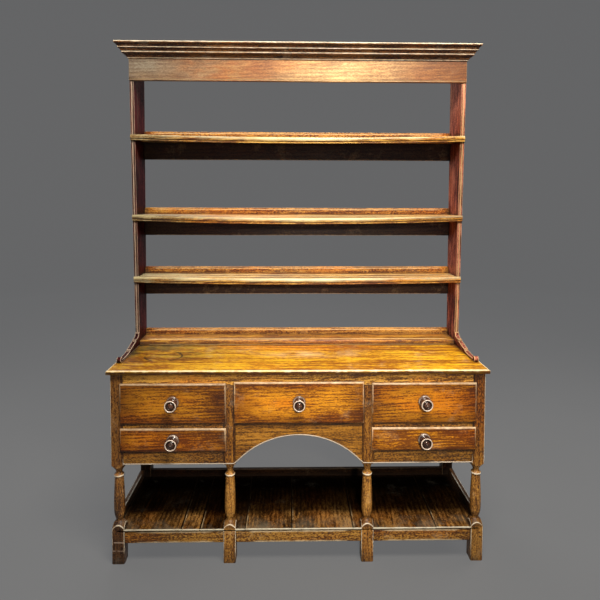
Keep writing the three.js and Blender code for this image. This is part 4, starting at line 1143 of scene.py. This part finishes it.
drawerSettings = {
    "lipEdge": 0.002, "lipRound": 0.0052, "fillet": 0.0008, "steps": 5, "body": 0.018, "lap": 0.007,
    "wall": 0.012, "play": 0.0003, "headroom": 0.0065, "pinSlope": 0.0022, "tailSlope": 0.0018,
    "tailPlay": 0.0004, "tall": 0.1,
}
drawerShades = {"rightEnd": (0.45, 0.30, 0.30), "edges": (0.34, 0.25, 0.22)}
drawerTones = {
    # lightness, grain offset, contrast, and how much darker the right end is
    "left_upper": (0.75, (0.15, 0.06, 0.42), 2.7, 0.40),
    "left_lower": (0.84, (0.9, 0.05, 0.50), 2.6, 0.40),
    "centre": (1.04, (0.42, 0.10, 0.60), 2.2, 0.0),
    "right_upper": (0.92, (0.55, 0.05, 0.44), 2.5, 0.10),
    "right_lower": (1.10, (1.3, 0.06, 0.53), 2.5, 0.1),
}
knobSettings = {
    "steps": 48, "length": 0.044,
    "profile": [(0.0245, 0.0014), (0.0244, 0.0036), (0.0230, 0.0060), (0.0186, 0.0086), (0.0140, 0.0116),
                (0.0129, 0.0160), (0.0132, 0.0212), (0.0152, 0.0250), (0.0176, 0.0260), (0.0183, 0.0282),
                (0.0174, 0.0302), (0.0188, 0.0314), (0.0224, 0.0336), (0.0240, 0.0366), (0.0238, 0.0396),
                (0.0226, 0.0422), (0.0209, 0.0434), (0.0193, 0.0430), (0.0180, 0.0412), (0.0168, 0.0384),
                (0.0155, 0.0368), (0.0143, 0.0366), (0.0133, 0.0376), (0.0118, 0.0396), (0.0092, 0.0416),
                (0.0052, 0.0430)],
}


def agedFront(low, high, amount):
    # the right end is darker and redder, and all four edges are darker than the middle
    wide, tall = high.x - low.x, high.z - low.z
    reach = 0.30 * tall

    def marks(add, place, colour):
        at = axes(add, place)
        soft = cloudy(add, place, 7.0, 3.0)
        x = swayed(add, at["X"], soft, 0.5 * wide)
        rightEnd = span(add, x, low.x + 0.45 * wide, high.x, 0.0, amount)
        colour = tinted(add, rightEnd, colour, drawerShades["rightEnd"])
        sideGap = calc(add, "SUBTRACT", wide / 2, gapTo(add, at["X"], (low.x + high.x) / 2))
        edgeGap = calc(add, "SUBTRACT", tall / 2, gapTo(add, at["Z"], (low.z + high.z) / 2))
        near = swayed(add, calc(add, "MINIMUM", times(add, sideGap, 0.45), edgeGap), soft, 0.9 * reach)
        return tinted(add, span(add, near, reach, 0.1 * reach, 0.0, 0.82), colour, drawerShades["edges"])
    return marks


def makeLippedFront(bm, x, z, y):
    # the lip: square edge, quarter round, then a small step up to the field
    s = drawerSettings
    corners = ((x[0], z[0]), (x[0], z[1]), (x[1], z[1]), (x[1], z[0]))
    face = bm.faces.new([bm.verts.new((a, y, b)) for a, b in corners])
    face.normal_update()
    if face.normal.y > 0:
        face.normal_flip()
    pushed = bmesh.ops.extrude_face_region(bm, geom=[face])
    field = [g for g in pushed["geom"] if isinstance(g, bmesh.types.BMFace)][0]
    bmesh.ops.translate(bm, verts=list(field.verts), vec=(0, -s["lipEdge"], 0))
    field.normal_update()
    wear = wearLayer(bm)
    markFaces(bm.faces, wear, 1.0)

    def step(inset, rise, amount=None):
        bmesh.ops.inset_individual(bm, faces=[field], thickness=inset, depth=rise, use_even_offset=True)
        if amount is not None:
            markFaces([field], wear, amount)

    turns = [math.pi / 2 * i / s["steps"] for i in range(s["steps"] + 1)]
    for i, (a, b) in enumerate(zip(turns, turns[1:])):
        rise = s["lipRound"] * (math.sin(b) - math.sin(a))
        step(s["lipRound"] * (math.cos(a) - math.cos(b)), rise, 0.95 - 0.14 * (i + 1))
    step(0.0004, 0)
    step(0.0003, s["fillet"], 0.75)
    step(0.0035, 0, 0.0)
    # the lip is paler along the top than at the sides and bottom: rubbed wear, and a painted highlight where
    # its top catches the light
    for vert in bm.verts:
        if vert.co.z > z[1] - s["lipRound"] - 0.0002:
            vert[wear] = max(vert[wear], 0.8)
        else:
            vert[wear] *= 0.8 if vert.co.z < z[0] + s["lipRound"] + 0.0002 else 0.62


def tailPlaces(low, high):
    # dovetails at the tip, from bottom to top
    count = 3 if high - low > drawerSettings["tall"] else 2
    pitch = (high - low) / count
    return [(low + pitch * (i + 0.16), low + pitch * (i + 0.84)) for i in range(count)]


def makeDrawerFront(name, tails, boxLow, boxHigh):
    s = drawerSettings
    low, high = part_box(f"drawer_front_{name}")
    bm = bmesh.new()
    makeLippedFront(bm, (low.x, high.x), (low.z, high.z), front - s["play"])
    core = bmesh.new()
    top = boxHigh.z + s["headroom"]
    lap, back = front + s["lap"] - 0.0005, front + s["body"]
    shrink = s["wall"] + s["play"]
    plank(core, (boxLow.x, front - 0.004, boxLow.z), (boxHigh.x, front + s["lap"], top))
    plank(core, (boxLow.x + shrink, lap, boxLow.z), (boxHigh.x - shrink, back, top))
    edges = [boxLow.z, *[z for tail in tails for z in tail], top]
    for left, right in wallPlaces(boxLow, boxHigh, 0.001):
        for i in range(0, len(edges), 2):
            bottom, upper = edges[i], edges[i + 1]
            lapBottom = bottom + (s["pinSlope"] if i else 0)
            lapUpper = upper - (s["pinSlope"] if i + 2 < len(edges) else 0)
            pin = [(lap, lapBottom), (lap, lapUpper), (back, upper), (back, bottom)]
            pushedOutline(core, pin, "X", left, right)
    bmesh.ops.recalc_face_normals(core, faces=core.faces)
    wearLayer(core)
    joinInto(bm, core)
    bmesh.ops.recalc_face_normals(bm, faces=bm.faces)
    tone, offset, contrast, darker = drawerTones[name]
    look = toned({**woodLooks["drawer"], "contrast": contrast}, tone, "worn")
    finish = oak(f"drawerOak.{name}", look, "X", offset, agedFront(low, high, darker))
    addPiece(f"drawerFront.{name}", bm, finish, [f"drawer_front_{name}"], f"drawer_{name}")


def wallPlaces(low, high, extra=0.0):
    # where the two sides of a drawer box stand
    wall = drawerSettings["wall"]
    return (low.x, low.x + wall + extra), (high.x - wall - extra, high.x)


def makeDrawerBox(name, tails, low, high):
    s = drawerSettings
    bm = bmesh.new()
    tip = front + s["lap"] + s["play"]
    root = front + s["body"] + 0.0002
    for left, right in wallPlaces(low, high):
        outline = [(high.y, low.z), (root, low.z)]
        for bottom, top in tails:
            outline += [(root, bottom + s["tailPlay"]), (tip, bottom - s["tailSlope"]),
                        (tip, top + s["tailSlope"]), (root, top - s["tailPlay"])]
        outline += [(root, high.z), (high.y, high.z)]
        part = bmesh.new()
        pushedOutline(part, outline, "X", left, right)
        ease(part, 0.0005, 0.002, 1)
        joinInto(bm, part)
    left, right = low.x + s["wall"] + 0.0002, high.x - s["wall"] - 0.0002
    rear = ((left, high.y - s["wall"], low.z + 0.014), (right, high.y, high.z - 0.004))
    floor = ((left, front + s["body"] - 0.006, low.z + 0.006), (right, high.y, low.z + 0.0137))
    for corners in (rear, floor):
        joinPlank(bm, *corners, "X", 2, 0.0006, 0.003, 1)
    finish = oak(f"drawerBoxOak.{name}", woodLooks["inside"], "Y", (0.3 + low.x, 0.2, low.z))
    addPiece(f"drawerBox.{name}", bm, finish, [f"drawer_box_{name}"], f"drawer_{name}")


def makeKnob(name):
    s = knobSettings
    low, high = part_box(f"drawer_knob_{name}")
    centre = Vector(((low.x + high.x) / 2, low.y + s["length"], (low.z + high.z) / 2))
    profile = softly([(0, 0), (0.0235, 0)], s["profile"], 2) + [(0, 0.0435)]
    bm = bmesh.new()
    lathe(bm, profile, centre, Vector((0, -1, 0)), s["steps"])
    wear = wearLayer(bm)
    for vert in bm.verts:
        reach = math.hypot(vert.co.x - centre.x, vert.co.z - centre.z)
        out = centre.y - vert.co.y
        rim = out > 0.0418 and 0.0180 < reach < 0.0232
        flange = out < 0.0085 and reach > 0.0185
        # a painted highlight laid in as a pale spot at the middle of the dome
        glint = out > 0.0428 and reach < 0.0040
        vert[wear] = 1.0 if rim else 0.62 if flange else 0.80 if glint else 0.0
    finish = oak(f"knobOak.{name}", woodLooks["knob"], "Y", (0, centre.x, centre.z))
    addPiece(f"drawerKnob.{name}", bm, finish, [f"drawer_knob_{name}"], f"drawer_{name}", 60)


for name in drawerTones:
    boxLow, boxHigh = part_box(f"drawer_box_{name}")
    tails = tailPlaces(boxLow.z, boxHigh.z)
    makeDrawerFront(name, tails, boxLow, boxHigh)
    makeDrawerBox(name, tails, boxLow, boxHigh)
    makeKnob(name)
print("drawers hung")

# Rack sides with scrolled feet

rackSettings = {
    "footRise": 0.067, "footReach": 0.248, "curl": 0.011, "run": 0.12, "footDepth": 0.120, "topDepth": 0.174,
    "groove": 0.0016, "stations": (0, 0.0045, 0.0068, 0.0078, 0.0102, 0.0112, 0.0135, 0.018),
    # painted light: the right side gets a lighter, redder copy of the rack's oak, the left keeps the darker,
    # shaded look
    "litRightLook": {"dark": (0.05, 0.010, 0.008), "mid": (0.24, 0.058, 0.044), "light": (0.56, 0.20, 0.13),
                  "contrast": 1.5, "flecks": 1.4, "worn": (0.66, 0.44, 0.22)},
}
rackLow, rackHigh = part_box("rack_side_left")
halfRack = -rackLow.x
rackInside = -rackHigh.x
rackFloor, rackTop, rackRear = rackLow.z, rackHigh.z, rackHigh.y
footTop = rackFloor + rackSettings["footRise"]
friezeLow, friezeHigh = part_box("rack_frieze")


def rackFront(z):
    # the front edge leans forward from the feet to the head
    s = rackSettings
    return rackRear - s["footDepth"] - (s["topDepth"] - s["footDepth"]) * (z - footTop) / (rackTop - footTop)


def footOutline():
    # stepped curves down to a thin run with a curled toe, as shares of reach and rise
    s = rackSettings
    edge = rackFront(footTop)
    shares = [(0, 1), (0, 0.86), (0.035, 0.86), (0.035, 0.75)]
    shares = softly(shares, [(0.05, 0.68), (0.08, 0.625), (0.13, 0.59), (0.185, 0.58)], 3)
    shares += [(0.185, 0.54), (0.215, 0.54), (0.215, 0.47)]
    shares = softly(shares, [(0.25, 0.455), (0.31, 0.42), (0.37, 0.37), (0.43, 0.31), (0.48, 0.28),
                             (0.52, 0.27)], 3)
    shares += [(0.52, 0.235), (0.555, 0.235), (0.555, 0.19)]
    shares = softly(shares, [(0.6, 0.165), (0.68, 0.14), (0.8, s["run"])], 3)
    points = [(edge - s["footReach"] * a, rackFloor + s["footRise"] * b) for a, b in shares]
    lift = math.degrees(math.asin((s["curl"] - s["footRise"] * s["run"]) / s["curl"]))
    return points + arcPoints((edge - s["footReach"], rackFloor + s["curl"]), s["curl"], -lift, 270, 24)


def makeRackSide(hand, side):
    s = rackSettings
    rise = [(rackFront(z), z) for z in evenStations(friezeLow.z - gap, footTop, 8)]
    outline = [(rackRear, rackFloor), (rackRear, rackTop), (friezeHigh.y + gap, rackTop),
               (friezeHigh.y + gap, friezeLow.z - gap)] + rise[:-1] + footOutline()
    rings = straightRings(outline, "X", [side * (rackInside + t) for t in s["stations"]])
    for point in rings[3] + rings[4]:
        # a groove down the middle of the front edge
        if footTop - 0.001 < point.z < friezeLow.z - 0.001 and point.y < rackRear - 0.1:
            point.y += s["groove"]
    bm = bmesh.new()
    sweptOutline(bm, rings)
    ease(bm, 0.0012, 0.004, 2, 34)
    wear = wearLayer(bm)
    # the scrolled feet are paler still on their edges: wear, and a painted highlight on the ledges and the toe
    for vert in bm.verts:
        if vert.co.z < footTop and vert.co.y < rackFront(rackFloor):
            vert[wear] *= 1.4
    look = {**woodLooks["rack"], **(s["litRightLook"] if hand == "right" else {})}
    finish = oak(f"rackSideOak.{hand}", look, "Z", (0.3, 0.1 * side, 0.2 * side))
    addPiece(f"rackSide.{hand}", bm, finish, [f"rack_side_{hand}"])


for hand, side in hands.items():
    makeRackSide(hand, side)
print("rack sides up")

# Rack shelves with nosings and plate grooves, back rails and the bottom shelf

shelfSettings = {
    # name: sag at the front edge, and grain offset
    "top": (0.011, (0.3, 0.1, 0.1)),
    "middle": (0.014, (1.1, 0.16, 0.4)),
    "low": (0.009, (1.9, 0.08, 0.7)),
}
shelfShape = {
    "thick": 0.020, "nose": 0.009, "noseHeight": 0.027, "steps": 40, "grooves": (0.040, 0.082),
    "grooveDepth": 0.0016, "highlightMiddle": 0.03, "highlightReach": 0.34,
}
shelfShades = {
    "left": (0.50, 0.78, 2.4), "under": (0.010, 0.003, 0.003),
    "bottomLook": {"mid": (0.33, 0.125, 0.010), "light": (0.58, 0.29, 0.03), "worn": (0.80, 0.60, 0.30)},
}


def sagAt(point, rear, nose, sag):
    # most at the middle of the front edge, none at the ends and the rear
    share = min(max(point.x / rackInside, -1), 1)
    return sag * (1 - share * share) * (rear - point.y) / (rear - nose)


def saggedRings(outline, stations, *shape):
    rings = straightRings(outline, "X", stations)
    for point in [point for ring in rings for point in ring]:
        point.z -= sagAt(point, *shape)
    return rings


def greyedLeft(add, place, colour):
    # the left ends are tinted greyer
    x = swayed(add, axes(add, place)["X"], cloudy(add, place, 6.0, 4.0), 0.4)
    return tinted(add, span(add, x, -0.42, -0.66, 0.0, 0.85), colour, shelfShades["left"])


def shelfOutline(rear, back, top):
    s = shelfShape
    depth = s["grooveDepth"]
    outline = [(rear, top - s["thick"]), (rear, top)]
    for place in [rear - groove for groove in s["grooves"]]:
        outline += [(place, top), (place - 0.0014, top - depth), (place - 0.0040, top - depth * 0.7),
                    (place - 0.0048, top)]
    return outline + [(back, top), (back, top - s["thick"])]


def noseOutline(nose, back, top):
    under = top - shelfShape["noseHeight"]
    steps = [(0.0035, under), (0.0020, under + 0.0015), (0.0022, under + 0.0065), (0.0042, top - 0.0195),
             (0.0042, top - 0.0180), (0.0012, top - 0.0172), (0.0002, top - 0.0145), (0, top - 0.0105),
             (0.0004, top - 0.0060), (0.0018, top - 0.0026), (0.0042, top - 0.0004)]
    return [(back - 0.0001, under)] + [(nose + y, z) for y, z in steps] + [(back - 0.0001, top)]


def makeShelf(name):
    s = shelfShape
    low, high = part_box(f"shelf_{name}")
    top, rear, nose = high.z, high.y, low.y
    back = nose + s["nose"]
    sag, offset = shelfSettings[name]
    shape = (rear, nose, sag)
    bm = bmesh.new()
    part = bmesh.new()
    stations = evenStations(-rackInside + gap, rackInside - gap, s["steps"])
    sweptOutline(part, saggedRings(shelfOutline(rear, back, top), stations, *shape))
    ease(part, 0.0006, 0.002, 1, 30)
    joinInto(bm, part)
    part = bmesh.new()
    stations = [-halfRack, *evenStations(-rackInside, rackInside, s["steps"]), halfRack]
    sweptOutline(part, saggedRings(noseOutline(nose, back, top), stations, *shape))
    for vert in part.verts:
        if vert.co.y < nose + 0.004:
            vert.co.y += 0.0005 * noise.noise(Vector((vert.co.x * 9, vert.co.z * 40, sag * 300)))
    cleaned(part)
    wear = wearLayer(part)
    # the nose is paler at the top and in the middle of the shelf: rubbed wear, and a painted highlight
    for vert in part.verts:
        drop = top - vert.co.z - sagAt(vert.co, *shape)
        upper = drop < 0.007 and vert.co.y < back - 0.002
        highlight = math.exp(-((vert.co.x - s["highlightMiddle"]) / s["highlightReach"]) ** 2)
        vert[wear] = (0.95 if upper else 0.72 if drop < 0.017 else 0.3) * (0.62 + 0.38 * highlight)
    joinInto(bm, part)
    finish = oak(f"shelfOak.{name}", woodLooks["shelf"], "X", offset, greyedLeft)
    addPiece(f"rackShelf.{name}", bm, finish, [f"shelf_{name}"], smooth=35)


def shadeBelowShelf(shelfTop):
    # painted shade: near black under each shelf
    def marks(add, place, colour):
        shade = span(add, axes(add, place)["Z"], shelfTop, shelfTop - 0.02, 0.0, 0.94)
        return covered(add, shade, colour, shelfShades["under"])
    return marks


def makeBackRail(name, node, finish):
    low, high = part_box(node)
    bead = [(low.y, high.z - 0.0075), (low.y + 0.0012, high.z - 0.0068), (low.y + 0.0012, high.z - 0.0060),
            (low.y, high.z - 0.0052)]
    outline = [(high.y, low.z), (low.y, low.z)] + bead + [(low.y, high.z), (high.y, high.z)]
    bm = bmesh.new()
    pushedOutline(bm, outline, "X", -rackInside + gap, rackInside - gap, 24)
    wander(bm, 0.0008, 3, high.z, keep="X")
    ease(bm, 0.0013, 0.004, butt="X")
    addPiece(f"backRail.{name}", bm, finish, [node])


def makeBottomShelf():
    low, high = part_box("bottom_shelf")
    top, nose = high.z, low.y
    outline = [(high.y, low.z), (nose, low.z)] + arcPoints((nose + 0.006, top - 0.006), 0.006, 180, 90, 4)
    outline += [(nose + 0.0170, top), (nose + 0.0178, top - 0.0016), (nose + 0.0200, top - 0.0018),
                (nose + 0.0210, top), (high.y, top)]
    bm = bmesh.new()
    pushedOutline(bm, outline, "X", low.x + gap, high.x - gap, 30)
    wander(bm, 0.0005, 3, 5.0, keep="XZ")
    ease(bm, 0.0008, 0.004, 1, 34, butt="X")
    look = {**woodLooks["shelf"], **shelfShades["bottomLook"]}
    finish = oak("bottomShelfOak", look, "X", (0.6, 0.12, 0.9))
    addPiece("bottomShelf", bm, finish, ["bottom_shelf"])


for i, name in enumerate(shelfSettings):
    makeShelf(name)
    shade = shadeBelowShelf(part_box(f"shelf_{name}")[1].z)
    finish = oak(f"backRailOak.{name}", woodLooks["rail"], "X", (0.5 * i, 0.07 + 0.02 * i, 0.2 * i), shade)
    makeBackRail(name, f"shelf_back_rail_{name}", finish)
finish = oak("bottomRailBoardOak", woodLooks["rail"], "X", (0.8, 0.04, 0.66))
makeBackRail("bottom", "bottom_back_rail", finish)
makeBottomShelf()
print("shelves and rails in")

# Frieze, cornice and top boards

# tints of the frieze: a painted grey sheen at the left, reddish knots, a painted highlight in the middle, a
# darker right end
friezeShades = {
    "left": (0.56, 0.98, 2.1), "knots": (1.15, 0.78, 0.55), "middle": (2.0, 2.65, 3.2),
    "right": (0.58, 0.42, 0.34),
}


def friezeToneAndSheen(add, place, colour):
    # a painted grey sheen at the left, reddish knots, a painted bright highlight in the middle, and darker at
    # the right end
    s = friezeShades
    x = swayed(add, axes(add, place)["X"], cloudy(add, place, 4.0, 4.0), 0.4)
    # painted sheen at the left
    colour = tinted(add, span(add, x, -0.34, -0.62, 0.0, 0.9), colour, s["left"])
    knots = span(add, cloudy(add, stretched(add, place, (1, 1, 2.4)), 13.0, 4.0), 0.44, 0.56, 0.0, 0.6)
    reddish = times(add, span(add, gapTo(add, x, -0.38), 0.20, 0.06), knots)
    colour = tinted(add, reddish, colour, s["knots"])
    # painted highlight in the middle
    colour = tinted(add, span(add, gapTo(add, x, 0.17), 0.40, 0.05, 0.0, 0.85), colour, s["middle"])
    return tinted(add, span(add, x, 0.45, 0.72, 0.0, 0.8), colour, s["right"])


def makeFrieze():
    low, high = friezeLow, friezeHigh
    bead = [(0.0012, 0), (0.0010, 0.0004), (0, 0.0020), (0, 0.0040), (0.0012, 0.0052), (0.0014, 0.0062),
            (0, 0.0070)]
    outline = [(high.y, low.z)] + [(low.y + y, low.z + z) for y, z in bead]
    outline += [(low.y, high.z), (high.y, high.z)]
    bm = bmesh.new()
    pushedOutline(bm, outline, "X", low.x, high.x, 30)
    wander(bm, 0.0006, 3, 9.0, keep="XZ")
    ease(bm, 0.0005, 0.003, 1, 40)
    finish = oak("friezeOak", woodLooks["frieze"], "X", (0.2, 0.08, 1.15), friezeToneAndSheen)
    addPiece("rackFrieze", bm, finish, ["rack_frieze"])


corniceSettings = {"mitre": 0.0002, "steps": 30, "fillets": (0.42, 0.66, 0.08)}
corniceLow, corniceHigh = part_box("cornice")
corniceReach = corniceHigh.x - halfRack - gap
corniceHeight = corniceHigh.z - corniceLow.z
corniceFace = friezeLow.y - gap
corniceHalf = halfRack + gap


def corniceProfile():
    # (reach, height): a hollow, two fillets with rounds between them, and the lip on top
    shares = softly([(0.06, 0.03), (0.06, 0.08)],
                    [(0.13, 0.12), (0.17, 0.19), (0.24, 0.25), (0.38, 0.31), (0.48, 0.34)], 2)
    shares = softly(shares + [(0.48, 0.42)], [(0.53, 0.45), (0.58, 0.52), (0.65, 0.58), (0.73, 0.61)], 2)
    shares = softly(shares + [(0.73, 0.66)],
                    [(0.76, 0.69), (0.79, 0.75), (0.86, 0.82), (0.97, 0.86), (1, 0.885)], 2)
    shares += [(1, 0.985), (0.985, 1), (0.93, 1), (0, 1), (0, 0)]
    return [(corniceReach * a, corniceLow.z + corniceHeight * b) for a, b in shares]


def addCornice(name, rings, finish, nodes=()):
    bm = bmesh.new()
    sweptOutline(bm, rings)
    bmesh.ops.recalc_face_normals(bm, faces=bm.faces)
    wear = wearLayer(bm)
    for vert in bm.verts:
        share = (vert.co.z - corniceLow.z) / corniceHeight
        out = max(abs(vert.co.x) - corniceHalf, corniceFace - vert.co.y) / corniceReach
        lip = share > 0.95 and out > 0.95
        fillet = min(abs(share - height) for height in corniceSettings["fillets"]) < 0.03 and out > 0.03
        vert[wear] = 1.0 if lip else 0.9 if fillet else 0.1
    addPiece(f"cornice.{name}", bm, finish, nodes, smooth=32)


def makeCornice():
    mitre = corniceSettings["mitre"]
    profile = corniceProfile()

    def mitredRing(side):
        # slides outwards with its reach
        return [Vector((side * (corniceHalf + r - mitre), corniceFace - r, z)) for r, z in profile]

    def endRing(side, y, slant=0):
        return [Vector((side * (corniceHalf + r), y - slant * r, z)) for r, z in profile]

    reach = 0.97 * corniceHalf
    between = [[Vector((x, corniceFace - r, z)) for r, z in profile]
               for x in evenStations(-reach, reach, corniceSettings["steps"])]
    rings = [mitredRing(-1), *between, mitredRing(1)]
    finish = oak("corniceOak", woodLooks["cornice"], "X", (0.4, 0.09, 1.4))
    endFinish = oak("corniceEndOak", woodLooks["cornice"], "Y", (0.4, 0.19, 1.2))
    addCornice("front", rings, finish, ["cornice"])
    for hand, side in hands.items():
        rings = [endRing(side, corniceHigh.y), endRing(side, (corniceHigh.y + corniceFace) / 2),
                 endRing(side, corniceFace + 2 * mitre, 1)]
        addCornice(hand, rings, endFinish)


makeFrieze()
makeCornice()

low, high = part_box("rack_top_board")
for i, (near, far) in enumerate(twoParts(low.y, high.y, low.y + (high.y - low.y) * 0.52, 0.0004)):
    finish = oak(f"rackTopOak.{i + 1}", woodLooks["inside"], "X", (0.3 * i, 0.1, 0.2))
    boardPiece(f"rackTopBoard.{i + 1}", (low.x, near, low.z), (high.x, far, high.z), finish, "rack",
               ["rack_top_board"] if i == 0 else [], cuts=12)
print("frieze and cornice on")
